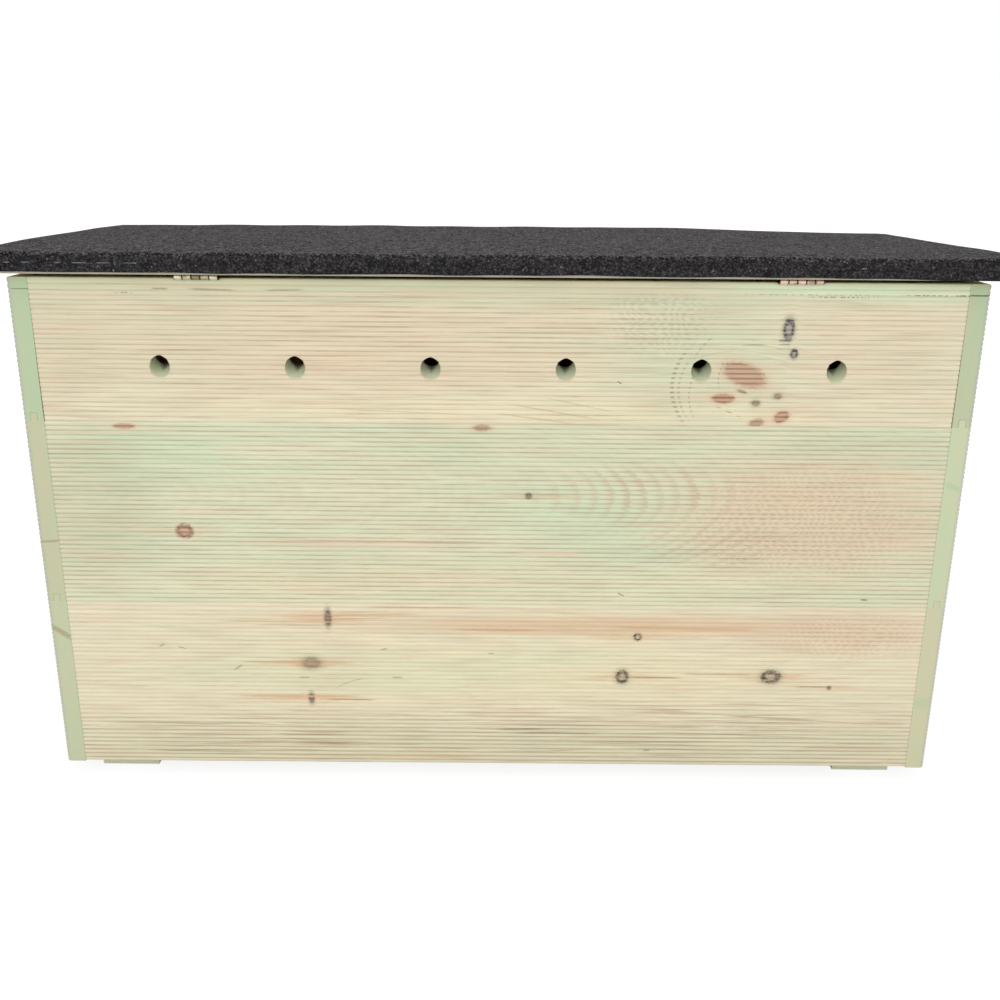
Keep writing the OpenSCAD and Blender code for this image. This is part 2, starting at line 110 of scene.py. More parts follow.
def shade(red, green, blue):
    """A colour given as 0 to 255 levels of a screen, turned into linear light."""
    levels = (red / 255, green / 255, blue / 255)
    return tuple(v / 12.92 if v <= 0.04045 else ((v + 0.055) / 1.055) ** 2.4 for v in levels)


def tint(name, description, *levels):
    """A colour setting whose default is given in screen levels."""
    return FloatVectorProperty(
        name=name, description=description, subtype="COLOR", min=0.0, max=1.0, default=shade(*levels)
    )


def number(name, description, default, low, high, **kind):
    """A number setting with its limits."""
    return FloatProperty(name=name, description=description, default=default, min=low, max=high, **kind)


def factor(name, description, default):
    """A setting between 0 and 1."""
    return number(name, description, default, 0.0, 1.0, subtype="FACTOR")


def length(name, description, default, low, high):
    """A length setting, given in millimetres."""
    return number(name, description, default * MM, low * MM, high * MM, unit="LENGTH")


def angle(name, description, degrees):
    """An angle setting, given in degrees."""
    return FloatProperty(
        name=name, description=description, subtype="ANGLE", default=math.radians(degrees)
    )


class HEDGEHOG_PG_pine(bpy.types.PropertyGroup):
    """Colours and grain of the pressure-treated pine boards."""

    cream: tint("Cream", "Early wood of a board", 237, 227, 198)
    green: tint("Green", "Wood tinted by its treatment", 212, 225, 192)
    straw: tint("Straw", "Pale yellow wood", 240, 231, 196)
    pink: tint("Pink", "Pinkish wood", 232, 208, 180)
    orange: tint("Orange", "Resin streaks beside knots", 220, 178, 136)
    mint: tint("Mint", "Palest of the green wood", 226, 240, 206)
    late: tint("Late wood", "Darker part of each growth ring", 206, 174, 146)
    brown_mark: tint("Brown mark", "Dark streaks along the grooves", 178, 146, 118)
    olive_mark: tint("Olive mark", "The greener of these streaks", 174, 164, 132)
    end_green: tint("Green end", "End grain that took up more of the tint", 187, 206, 169)
    end_grey: tint("Grey end", "Greyer end grain", 206, 201, 167)
    end_rim: tint("End rim", "Torn outer rim of the end grain", 186, 184, 176)
    # The shadow colour is painted shade: the darkness deep inside a vent's bore.
    cut: tint("Cut wood", "Walls of the vents and joints", 206, 214, 182)
    shadow: tint("Deep wood", "Dark inner mouth of a vent", 48, 62, 38)
    # The inside colour is partly the duller inner face of the wood and partly painted shade of the box's
    # inside.
    inside: tint("Inside", "Duller inner face of a wall", 176, 164, 124)
    knot_red: tint("Red knot", "Wood of a live knot", 198, 150, 122)
    knot_brown: tint("Brown knot", "Outline of a live knot", 128, 96, 74)
    knot_grey: tint("Grey knot", "Inside of a dead knot", 158, 142, 114)
    knot_dark: tint("Knot bark", "Bark round a dead knot", 72, 62, 52)
    ink: tint("Ink", "Bluish black of the oldest knots", 78, 70, 80)
    ring_width: number("Ring width", "Growth of one year, in millimetres", 2.5, 1.0, 6.0)
    reed_pitch: number("Reed pitch", "Distance between grooves aimed at, in millimetres", 3.65, 2, 8)
    mark_length: number(
        "Mark length", "Length of the broken lines in the grooves, in millimetres", 44.0, 5.0, 120.0
    )
    mark_strength: factor("Mark strength", "How dark the broken lines in the grooves are", 0.43)
    vent_pitch: number("Vent pitch", "Distance between the vents, in millimetres", 100.0, 50, 200)
    vent_height: number(
        "Vent height", "Middle of the vents above their board's lower edge, in millimetres", 41.3, 10, 90
    )
    roughness: factor("Roughness", "Roughness of sawn and reeded wood", 0.82)


class HEDGEHOG_PG_timber(bpy.types.PropertyGroup):
    """Colours of the plywood, the planed posts and the feet."""

    veneer: tint("Veneer", "Face of the plywood", 214, 190, 150)
    glue: tint("Glue line", "Dark line between two plies", 150, 122, 88)
    lid_edge: tint("Lid edge", "Bare pale edge of the lid board", 214, 210, 188)
    post: tint("Post", "Planed softwood", 206, 180, 138)
    # The foot colours are paler than the batten's own wood: painted light that makes up for the shade
    # under the house.
    foot: tint("Foot", "Rough sawn treated batten", 242, 241, 216)
    foot_dark: tint("Foot grain", "Dark grain of the batten", 224, 223, 198)
    ply_thickness: number("Ply", "Thickness of one ply, in millimetres", 2.4, 0.5, 6.0)


class HEDGEHOG_PG_felt(bpy.types.PropertyGroup):
    """Colours, granules and folds of the roofing felt."""

    # Top and side are one felt: the top is lighter than the side as painted light from above.
    top: tint("Top", "Mineral face of the roof", 68, 64, 65)
    side: tint("Side", "Mineral face of the turned-down hem", 50, 49, 51)
    fleck: tint("Fleck", "Grey granules", 104, 100, 101)
    pale: tint("Pale fleck", "The rare pale granules", 150, 146, 142)
    bitumen: tint("Bitumen", "Black between the granules", 23, 22, 23)
    granule: length("Granule", "Size of a mineral granule", 1.1, 0.2, 5)
    wave: length("Wave", "Height of the soft waves in the sheet", 0.5, 0, 3)
    bead: length("Bead", "How far the sheet swells where it bends over the edge", 0.7, 0, 3)
    lift: length("Lift", "How far the sheet stands off the board towards the front", 3.2, 0, 6)
    bend: length("Bend", "Outer radius where the sheet turns down", 3.0, 1, 8)
    step: length("Mesh step", "Distance between the points of the sheet", 5.0, 2, 20)


class HEDGEHOG_PG_metal(bpy.types.PropertyGroup):
    """Colours of the hinges, staples, screws and nails."""

    brass: tint("Brass", "Brassed steel of the hinges", 224, 219, 190)
    copper: tint("Warm brass", "Pinkish tone of the other hinge", 232, 206, 188)
    tarnish: tint("Tarnish", "Dull marks on the brass", 116, 104, 78)
    zinc: tint("Zinc", "Zinc-plated steel", 176, 176, 178)
    zinc_dull: tint("Dull zinc", "Duller spangles of the zinc", 120, 120, 124)
    grime: tint("Grime", "Bitumen smeared over some staples", 44, 44, 48)
    staple_pitch: length("Staple pitch", "Distance between two staples", 18, 5, 50)


class HEDGEHOG_PG_stage(bpy.types.PropertyGroup):
    """Camera and light."""

    lens: number("Lens", "Focal length in millimetres on a 36 mm sensor", 38.818, 10, 200)
    camera_place: FloatVectorProperty(
        name="Camera place",
        description="Where the camera stands",
        subtype="TRANSLATION",
        unit="LENGTH",
        default=(-0.00303, 0.94837, 0.49263),
    )
    camera_tip: angle("Camera tip", "How far the camera looks down", 17.648)
    camera_turn: angle(
        "Camera turn", "How far the camera is turned from looking squarely at the back wall", 0.0643
    )
    camera_roll: angle("Camera roll", "How far the camera leans to one side", 0.4424)
    sky: number("Sky", "Strength of the white sky as a lamp", 0.66, 0.0, 2.0)
    key: number(
        "Key lamp", "Power of the large soft lamp above the camera", 13.0, 0.0, 200.0, unit="POWER"
    )
    overhead: number(
        "Overhead lamp", "Power of the large soft lamp over the roof", 16.0, 0.0, 200.0, unit="POWER"
    )
    floor_white: factor(
        "Floor white", "How much of the floor's white is its own light, as the camera sees it", 0.86
    )


def settings(context):
    """The groups of settings of this scene, by their short names."""
    return {name: getattr(context.scene, "hedgehog_" + name) for name in GROUPS}


def both_ways(operation):
    """The methods of a value that stands before and after the sign of an operation."""

    def before(self, other):
        return self.nodes.math(operation, self, other)

    def after(self, other):
        return self.nodes.math(operation, other, self)

    return before, after


class Value:
    """A node's output that is written in sums like a number: each sign adds one Math node."""

    __add__, __radd__ = both_ways("ADD")
    __sub__, __rsub__ = both_ways("SUBTRACT")
    __mul__, __rmul__ = both_ways("MULTIPLY")
    __truediv__, __rtruediv__ = both_ways("DIVIDE")

    def __init__(self, nodes, socket):
        self.nodes, self.socket = nodes, socket

    def __abs__(self):
        return self.nodes.math("ABSOLUTE", self)


def label(name):
    """A socket's name: pith_depth becomes Pith Depth."""
    return name.replace("_", " ").title()


class Nodes:
    """A shader node tree written as nested calls, most of which return an output's value."""

    def __init__(self, tree):
        self.tree = tree

    def put(self, socket, value):
        """Links an output to an input, or sets the input's own value."""
        if isinstance(value, Value):
            self.tree.links.new(value.socket, socket)
        elif socket.type == "RGBA":
            socket.default_value = (*value[:3], 1.0)
        else:
            socket.default_value = value

    def new(self, kind, choices=None):
        """Adds a node and sets its choices."""
        made = self.tree.nodes.new("ShaderNode" + kind)
        for name, value in (choices or {}).items():
            setattr(made, name, value)
        return made

    def outputs(self, node):
        """A node's outputs as values, by name."""
        return {socket.name: Value(self, socket) for socket in node.outputs}

    def node(self, kind, choices=None, **inputs):
        """Adds a node, sets its inputs by name and returns its outputs by name."""
        made = self.new(kind, choices)
        for name, value in inputs.items():
            self.put(made.inputs[label(name)], value)
        return self.outputs(made)

    def fill(self, kind, choices, *values):
        """Adds a node, sets its inputs in their order and returns its outputs in theirs."""
        made = self.new(kind, choices)
        for socket, value in zip(made.inputs, values):
            self.put(socket, value)
        return [Value(self, socket) for socket in made.outputs]

    def math(self, operation, *values, clamp=False):
        """One Math node."""
        return self.fill("Math", {"operation": operation, "use_clamp": clamp}, *values)[0]

    def most(self, a, b):
        return self.math("MAXIMUM", a, b)

    def far(self, a, b):
        """The distance of two parts at right angles."""
        return self.math("SQRT", a * a + b * b)

    def vector(self, operation, *values):
        """One Vector Math node: a length is its second output, a vector its first."""
        made = self.fill("VectorMath", {"operation": operation}, *values)
        return made[operation == "LENGTH"]

    def split(self, vector):
        """The three parts of a vector."""
        return list(self.node("SeparateXYZ", vector=vector).values())

    def join(self, x=0.0, y=0.0, z=0.0):
        """A vector from its three parts."""
        return self.node("CombineXYZ", x=x, y=y, z=z)["Vector"]

    def place(self, kind="Object"):
        """One output of a Texture Coordinate node."""
        return self.node("TexCoord")[kind]

    def ramp(self, value, low, high, start=0.0, end=1.0):
        """A smooth step: start below low, end above high."""
        made = self.node(
            "MapRange", {"interpolation_type": "SMOOTHSTEP"},
            value=value, from_min=low, from_max=high, to_min=start, to_max=end
        )
        return made["Result"]

    def fall(self, value, low, high):
        """A smooth step down: 1 below low, 0 above high."""
        return self.ramp(value, low, high, 1.0, 0.0)

    def mix(self, share, a, b, blend="MIX"):
        """A mix of two colours. The node holds them as its inputs 6 and 7 and its output 2."""
        made = self.new("Mix", {"data_type": "RGBA", "blend_type": blend})
        for index, value in ((0, share), (6, a), (7, b)):
            self.put(made.inputs[index], value)
        return Value(self, made.outputs[2])

    def layers(self, colour, *layers):
        """A colour under more of them, each with its share."""
        for share, tone in layers:
            colour = self.mix(share, colour, tone)
        return colour

    def noise(self, vector, stretch=WHITE, detail=2.0, roughness=0.5, seed=0.0, output="Fac"):
        """Noise between 0 and 1 whose cells are 1/stretch long on each axis."""
        place = self.vector("MULTIPLY", vector, stretch)
        if isinstance(seed, Value) or seed:
            place = self.vector("ADD", place, self.join(seed, seed, seed))
        made = self.node("TexNoise", vector=place, scale=1.0, detail=detail, roughness=roughness)
        return made[output]

    def lot(self, turns, seed):
        """A random value between 0 and 1 for each whole number of turns."""
        whole = self.math("FLOOR", turns) + seed
        return self.node("TexWhiteNoise", {"noise_dimensions": "1D"}, w=whole)["Value"]

    def group(self, name, mark=None, **inputs):
        """Places a node group and returns its outputs by name. The values of a mark, such as
        a knot, go into the inputs of the same names."""
        tree = bpy.data.node_groups[name]
        if mark:
            known = [item.name for item in tree.interface.items_tree if item.in_out == "INPUT"]
            held = {key: value for key, value in mark._asdict().items() if label(key) in known}
            inputs = {**held, **inputs}
        return self.node("Group", {"node_tree": tree}, **inputs)

    def give(self, **values):
        """Adds the outputs of a node group and links them."""
        for name in values:
            self.tree.interface.new_socket(
                label(name), in_out="OUTPUT", socket_type="NodeSocketFloat"
            )
        out = self.tree.nodes.new("NodeGroupOutput").inputs
        for name, value in values.items():
            self.put(out[label(name)], value)


def new_group(name, **inputs):
    """A node group with its inputs: its node helper, and its inputs as values by name.

    A default of three parts makes a vector socket.
    """
    tree = bpy.data.node_groups.new(name, "ShaderNodeTree")
    for key, default in inputs.items():
        kind = "NodeSocketVector" if isinstance(default, tuple) else "NodeSocketFloat"
        socket = tree.interface.new_socket(label(key), in_out="INPUT", socket_type=kind)
        socket.default_value = default
    n = Nodes(tree)
    given = n.outputs(tree.nodes.new("NodeGroupInput"))
    return n, SimpleNamespace(**{key: given[label(key)] for key in inputs})


def make_growth_rings():
    """Growth rings round a pith line behind the board.

    The distance from the pith line, which wavers and may sink along the board, is divided by
    the ring width. Its fraction rises slowly to the late wood and falls at once, and each
    ring has a strength of its own.
    """
    n, given = new_group(
        "growth rings", board=ORIGIN, pith_depth=60.0, pith_height=50.0, rise=0.02, squeeze=1.0,
        width=2.5, waver=6.0, push=0.0, seed=0.0
    )
    along, depth, height = n.split(given.board)
    slow = n.noise(given.board, (0.007, 0.012, 0.012), seed=given.seed, output="Color")
    sway, swell, _ = n.split(n.vector("SUBTRACT", slow, (0.5, 0.5, 0.5)))
    across = height + given.push - given.pith_height
    across = (across + sway * given.waver) * given.squeeze
    behind = given.pith_depth + depth + given.rise * along + swell * given.waver
    fine = n.noise(given.board, (0.03, 0.5, 0.5), 3.0, 0.6, given.seed)
    turns = n.far(across, behind) / given.width + (fine - 0.5) * 0.5
    part = n.math("FRACT", turns)
    late = n.ramp(part, 0.35, 0.9) * n.fall(part, 0.93, 1.0)
    n.give(late=late, strength=n.lot(turns, given.seed))


def make_reed_marks():
    """Broken dark lines that follow the grooves, and tones that follow the reeds.

    Noise is read along each groove by the groove's own number, so that every line starts
    and ends by itself; a slower noise thins the lines out in whole patches.
    """
    n, given = new_group("reed marks", board=ORIGIN, pitch=3.65, length=30.0, amount=0.0, seed=0.0)
    along, depth, height = n.split(given.board)
    rows = height / given.pitch
    reed, groove = n.math("FLOOR", rows), n.math("FLOOR", rows + 0.5)
    away = abs(rows - groove) * given.pitch
    own = n.join(along / given.length, groove * 5.17 + given.seed, given.seed)
    own = n.noise(own, detail=3.0, roughness=0.6)
    patch = n.noise(given.board, (0.007, 0.0, 0.05), seed=given.seed)
    strength = n.ramp(own * 0.7 + patch * 0.3 + given.amount, 0.38, 0.7)
    line = (strength + 0.22) * n.fall(away / (0.65 + strength * 0.4), 0.1, 1.0)
    skin = n.fall(depth, 1.3, 1.7)
    tone = n.noise(n.join(along / 70.0, reed * 3.71 + given.seed, 0.0), detail=3.0)
    waver = n.noise(given.board, (0.02, 0.0, 0.06), seed=given.seed)
    uneven = n.noise(given.board, (0.045, 0.0, 0.27), 1.0, seed=given.seed)
    steps = along / 6.4 + groove * 0.34 + (waver * 6.0 + uneven * 2.4)
    step = n.math("FRACT", steps)
    dash = n.ramp(step, 0.1, 0.4) * n.fall(step, 0.6, 0.9)
    n.give(
        line=line * skin,
        tone=tone,
        near=n.fall(away, 0.2, 1.2),
        hatch=dash * skin * n.ramp(away, 0.4, 1.6, 1.0, 0.15),
    )


def make_grain_lines():
    """Long thin lines along a board that rise and fall together in slow waves."""
    n, given = new_group("grain lines", board=ORIGIN, wave=9.0, seed=0.0)
    along, _, height = n.split(given.board)
    wave = n.noise(given.board, (0.008, 0.0, 0.012), 1.0, 0.4, given.seed)
    place = n.join(along / 90.0, 0.0, (height + wave * given.wave) / 1.6)
    n.give(line=n.ramp(n.noise(place, seed=given.seed), 0.5, 0.72))


def make_knot():
    """A knot, as the distance from its centre in half widths and half heights.

    The distance is turned, and ragged noise is added. From it come the heart, the broken
    rim, the smudged halo, the streaks to both sides and the push that bends the grain.
    """
    n, given = new_group(
        "knot", board=ORIGIN, along=0.0, height=50.0, half_width=6.0, half_height=5.0, turn=0.0,
        ragged=0.7
    )
    x, z = place_on_board(n, given)
    up = z / given.half_height
    far = n.far(x / given.half_width, up)
    torn = far + (n.noise(given.board, (0.5, 0.4, 0.9), 3.0, 0.65) - 0.5) * given.ragged
    skin = n.fall(n.split(given.board)[1], 5.0, 9.0)
    broken = n.noise(given.board, (0.35, 0.3, 0.45), seed=7.0)
    rim = n.ramp(torn, 0.4, 0.7) * n.fall(torn, 1.0, 1.35) * n.ramp(broken, 0.38, 0.56, 0.4, 1.0)
    streaky = n.noise(given.board, (0.03, 0.0, 0.4), 3.0, 0.6)
    tail = n.far(x / 42.0, up) + (streaky - 0.5) * 2.4
    n.give(
        heart=n.fall(torn, 0.7, 1.1) * skin,
        rim=rim * skin,
        halo=n.fall(torn, 0.8, 2.1) * skin,
        tail=n.fall(tail, 0.2, 1.1) * skin,
        push=n.fall(far, 0.5, 3.2) * (z * -0.55),
    )


def place_on_board(n, given):
    """Millimetres right of and above a turned mark's own place on the board."""
    along, _, height = n.split(given.board)
    x, z = along - given.along, height - given.height
    cos, sin = n.math("COSINE", given.turn), n.math("SINE", given.turn)
    return x * cos + z * sin, z * cos - x * sin


def make_stroke():
    """A short thin mark: a straight or bent line that thins out to both ends."""
    n, given = new_group(
        "stroke", board=ORIGIN, along=0.0, height=50.0, half_length=6.0, half_width=0.6, turn=0.0,
        bend=0.0, dotted=0.0
    )
    x, z = place_on_board(n, given)
    ragged = n.noise(given.board, (0.4, 0.4, 0.6), 3.0, 0.6) - 0.5
    off = z - given.bend * (x * x) + ragged * given.half_width
    mask = n.fall(abs(off / given.half_width), 0.3, 1.1) * n.fall(abs(x / given.half_length), 0.5, 1.0)
    dots = n.noise(given.board, (0.45, 0.0, 0.45), seed=3.0) - given.dotted * 0.5
    n.give(mask=mask * n.ramp(dots, 0.0, 0.08))


def make_patch():
    """A soft tinted patch: an ellipse whose edge is broken into long streaks."""
    n, given = new_group(
        "patch", board=ORIGIN, along=0.0, height=50.0, half_width=60.0, half_height=20.0,
        broken=0.8, seed=0.0
    )
    along, _, height = n.split(given.board)
    far = n.far((along - given.along) / given.half_width, (height - given.height) / given.half_height)
    broken = n.noise(given.board, (0.012, 0.1, 0.16), 4.0, 0.6, given.seed)
    n.give(mask=n.fall(far + (broken - 0.5) * given.broken, 0.35, 1.15))


def make_fibres():
    """Fine fibres along a board, as a height for the bump of sawn or planed wood."""
    n, given = new_group("fibres", board=ORIGIN, seed=0.0)
    fine = n.noise(given.board, (0.12, 2.6, 2.6), 3.0, 0.65, given.seed)
    fuzz = n.noise(given.board, (0.9, 1.6, 1.6), 3.0, 0.7, given.seed)
    tone = n.noise(given.board, (0.02, 0.9, 0.9), 4.0, 0.6, given.seed)
    n.give(height=fine * 0.7 + fuzz * 0.3, tone=tone)


def make_speckle():
    """Granules: one random value for each cell of a Voronoi pattern, and the cell's dome."""
    n, given = new_group("speckle", place=ORIGIN, scale=900.0)
    cells = n.node("TexVoronoi", vector=given.place, scale=given.scale)
    n.give(value=n.split(cells["Color"])[0], dome=n.fall(cells["Distance"], 0.0, 0.7))


def make_groups():
    """Builds every shared node group once."""
    if "growth rings" in bpy.data.node_groups:
        return
    makers = (
        make_growth_rings, make_reed_marks, make_grain_lines, make_knot, make_stroke, make_patch,
        make_fibres, make_speckle
    )
    for make in makers:
        make()


def new_material(name, swatch):
    """A material with an empty tree: its node helper and its Principled shader's inputs."""
    material = bpy.data.materials.new(name)
    material.use_nodes = True
    material.diffuse_color = (*swatch, 1.0)
    tree = material.node_tree
    tree.nodes.clear()
    n = Nodes(tree)
    shader = n.new("BsdfPrincipled")
    n.node("OutputMaterial", surface=Value(n, shader.outputs[0]))
    return material, n, shader.inputs


def finish(n, shader, colour, roughness, height, strength, distance):
    """Puts a colour, a roughness and a bump, as deep as a distance in millimetres, on a
    shader."""
    bump = n.node("Bump", strength=strength, distance=distance * MM, height=height)
    n.put(shader["Base Color"], colour)
    n.put(shader["Roughness"], roughness)
    n.put(shader["Normal"], bump["Normal"])


def wear(nodes, material):
    """Gives CAD nodes one material in every slot."""
    for node in nodes:
        slots = NODES[node].data.materials
        if not slots:
            slots.append(material)
        for index in range(len(slots)):
            slots[index] = material


def in_board(n, wall, node):
    """Object coordinates as millimetres along, into and up a wall board.

    The first part runs along the board to the right as seen from outside, from the wall's
    middle, the second goes into the wood from the outer face and the third up from the
    board's bottom edge.
    """
    low, high = (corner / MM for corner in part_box(node))
    middle = (low + high) / 2
    turn, place = {
        "back": (math.pi, (middle.x, high.y, -low.z)),
        "front": (0.0, (-middle.x, -low.y, -low.z)),
        "left": (QUARTER, (middle.y, -low.x, -low.z)),
        "right": (-QUARTER, (-middle.y, high.x, -low.z)),
    }[wall]
    turned = (0.0, 0.0, turn)
    return n.node("Mapping", vector=n.place(), location=place, rotation=turned, scale=IN_MM)["Vector"]


Rings = namedtuple("Rings", "pith_depth pith_height rise waver")
Knot = namedtuple("Knot", "kind along height half_width half_height turn", defaults=(0.0,))
Patch = namedtuple("Patch", "tint along height half_width half_height strength")
Stroke = namedtuple(
    "Stroke",
    "tint strength along height half_length half_width turn bend dotted",
    defaults=(0.0, 0.0, 0.0),
)
End = namedtuple("End", "grey light strokes", defaults=(0.3, 1.0, ()))
Board = namedtuple(
    "Board", "rings green late marks grain knots patches strokes arcs rosy end", defaults=(0.0, None)
)


def board(knots=(), patches=(), strokes=(), arcs=(), **rest):
    """A board's look, with its marks given as plain rows."""
    return Board(
        knots=[Knot(*row) for row in knots],
        patches=[Patch(*row) for row in patches],
        strokes=[Stroke(*row) for row in strokes],
        arcs=[Stroke(*row) for row in arcs],
        **rest,
    )


# How strongly a kind of knot paints its tail, halo, heart and rim, and in which colours.
KNOT_KINDS = {
    "red": (("pink", 0.35), ("pink", 0.65), ("knot_red", 0.8), ("knot_brown", 0.1)),
    "deep": (("pink", 0.5), ("pink", 0.8), ("knot_red", 1.0), ("knot_brown", 0.16)),
    "brown": (("orange", 0.25), ("pink", 0.5), ("knot_red", 0.8), ("knot_brown", 0.8)),
    "grey": (("orange", 0.7), ("knot_grey", 0.35), ("knot_grey", 0.8), ("knot_brown", 0.25)),
    "ringed": (("orange", 0.5), ("knot_grey", 0.5), ("straw", 0.2), ("knot_dark", 1.0)),
    "cracked": (("orange", 0.5), ("knot_grey", 0.5), ("knot_grey", 0.3), ("knot_dark", 1.0)),
    "inked": (("pink", 0.2), ("ink", 0.42), ("ink", 0.22), ("ink", 1.0)),
    "dark": (("orange", 0.5), ("knot_grey", 0.5), ("knot_dark", 0.62), ("ink", 0.4)),
    "olive": (("pink", 0.0), ("knot_grey", 0.4), ("knot_grey", 1.0), ("knot_brown", 0.2)),
    "stain": (("pink", 0.2), ("knot_red", 0.35), ("knot_grey", 0.8), ("knot_red", 0.75)),
}

# The boards of the back wall. A row starts with the kind of a knot, the colour of a patch, or
# the colour and strength of a stroke. Its place follows, in millimetres along from the wall's
# middle and up from the board's bottom edge, and then its half sizes and the rest. A patch may
# name a pattern of the board instead of a colour: its rings, grain, groove marks or hatching.
BACK = {}
BACK["top_strip"] = board(
    rings=Rings(40, -30, 0.01, 6.0), green=0.35, late=0.06, marks=-0.14, grain=0.05,
    # On the strip, the mint patch at the right end is painted light that lifts it out of the lid's
    # shade, and the wide end_green patch is painted shade under the lid.
    patches=[
        ("straw", -240, 4, 110, 14, 0.5), ("straw", 40, 4, 220, 14, 0.3),
        ("mint", 290, 4, 160, 14, 0.95), ("end_green", -130, 4, 330, 14, 0.32),
    ],
    strokes=[
        ("olive_mark", 0.9, -245, 1.2, 7, 0.9), ("olive_mark", 0.85, -207, 0.6, 20, 1.1, -0.03),
        ("olive_mark", 0.8, -155, 0.8, 16, 0.8, 0.02),
        ("knot_dark", 0.5, 225, 0.3, 60, 0.5, 0.0, 0.0, 0.98),
        ("knot_dark", 0.8, 322, 0.3, 34, 0.5, 0.0, 0.0, 0.9),
        ("knot_dark", 0.85, 342, 0.2, 12, 0.7, 0.0, 0.0, 0.7),
    ],
)
BACK["board_top"] = board(
    rings=Rings(75, 14, 0.012, 9.0), green=0.16, late=0.15, marks=-0.04, grain=0.26, rosy=0.06,
    knots=[
        ("red", 182, 39.0, 18.0, 9.0, -0.35), ("deep", 167.5, 21.0, 9.0, 3.8),
        ("deep", 212, 7.4, 6.4, 4.4, 0.4), ("stain", 193.5, 2.4, 5.0, 3.0, 0.3),
        ("olive", 192, 17.7, 3.2, 2.4), ("olive", 208, 23.0, 3.0, 2.0),
        ("olive", 181, 26.5, 3.4, 1.0, -0.3), ("inked", 212, 72.8, 3.6, 6.8),
        ("inked", 217.3, 54.8, 2.5, 2.9),
    ],
    patches=[
        ("green", 150, 50, 85, 60, 0.55), ("green", -250, 60, 90, 60, 0.2),
        ("straw", -20, 12, 330, 14, 0.5), ("pink", -60, 45, 200, 20, 0.35),
        ("pink", -170, 62, 240, 56, 0.4), ("marks", -20, 66, 240, 40, 0.08),
        ("hatch", 118, 78, 46, 32, 0.28), ("pink", 280, 60, 70, 40, 0.3),
        ("olive_mark", -330, 60, 60, 60, 0.12), ("green", 0, 92, 360, 6, 0.35),
        ("mint", 300, 96, 110, 5, 0.6),
    ],
    arcs=[
        ("knot_brown", 0.45, 129, 30, 36, 1.9, 1.5708, -0.013),
        ("olive_mark", 0.6, 134, 28, 28, 1.2, 1.5708, -0.015),
        ("olive_mark", 0.8, 142, 24, 22, 0.7, 1.5708, -0.014),
        ("olive_mark", 0.8, 163.5, 40, 14, 0.7, 1.4, -0.02),
        ("olive_mark", 0.7, 150, 60, 14, 0.9, 0.9, -0.012),
        ("olive_mark", 0.7, 184, 61, 16, 0.8, 0.1, -0.01), ("olive_mark", 0.7, 172, 11, 12, 0.8, -0.4),
    ],
    strokes=[
        ("late", 0.5, 41, 10, 42, 0.8, -0.17), ("late", 0.5, 28, 4.6, 36, 0.8, -0.13),
        ("late", 0.4, 62, 15, 30, 0.7, -0.2), ("late", 0.4, -70, 9, 60, 0.7, -0.04),
        ("ink", 0.6, 210, 64.6, 6.0, 1.0), ("ink", 0.4, 210, 61.6, 5, 0.7),
        ("ink", 0.8, 212.5, 79.0, 3.4, 0.9, 0.2, -0.05), ("knot_brown", 0.35, 211, 58.6, 9, 0.6),
        ("ink", 0.95, 217.9, 57.0, 2.2, 1.1), ("pink", 0.8, 228, 56.6, 8, 1.2),
        ("knot_dark", 0.8, 90, 32.5, 2.2, 0.5, -0.5),
        ("knot_dark", 0.55, 250, 96.2, 30, 0.6, 0.0, 0.0, 0.9),
        ("knot_dark", 0.5, -272, 95.6, 9, 0.7, 0.0, 0.0, 0.95),
    ],
)
BACK["board_middle"] = board(
    rings=Rings(88, 90, 0.19, 6.0), green=0.52, late=0.08, marks=0.07, grain=0.1,
    knots=[
        ("red", -281, 142.9, 9.0, 2.4), ("stain", -12, 143.6, 6.0, 2.2), ("dark", 24, 90.4, 2.4, 2.2),
        ("brown", -242, 59.7, 6.4, 5.4),
    ],
    patches=[
        ("green", -270, 122, 85, 26, 0.7), ("green", 285, 128, 80, 22, 0.8),
        ("green", 100, 70, 120, 45, 0.35), ("straw", 0, 14, 330, 26, 0.4),
        ("pink", 245, 76, 135, 66, 0.8), ("pink", -120, 52, 110, 5, 0.5),
        ("pink", -100, 22, 180, 12, 0.25), ("olive_mark", -310, 80, 60, 80, 0.2),
        ("rings", 112, 93, 92, 26, 0.42), ("rings", 165, 52, 66, 22, 0.34),
        ("hatch", 236, 68, 100, 54, 0.3), ("marks", 250, 72, 110, 56, -0.13),
    ],
    strokes=[
        ("brown_mark", 0.6, -80, 52.5, 95, 0.7, -0.003), ("pink", 0.8, -125, 47.5, 34, 1.4),
        ("pink", 0.8, 40, 44, 30, 1.8), ("knot_dark", 0.8, 290, 6.5, 3.4, 0.6),
        ("knot_dark", 0.7, 98, 9.5, 3.2, 0.6, -0.4),
    ],
)
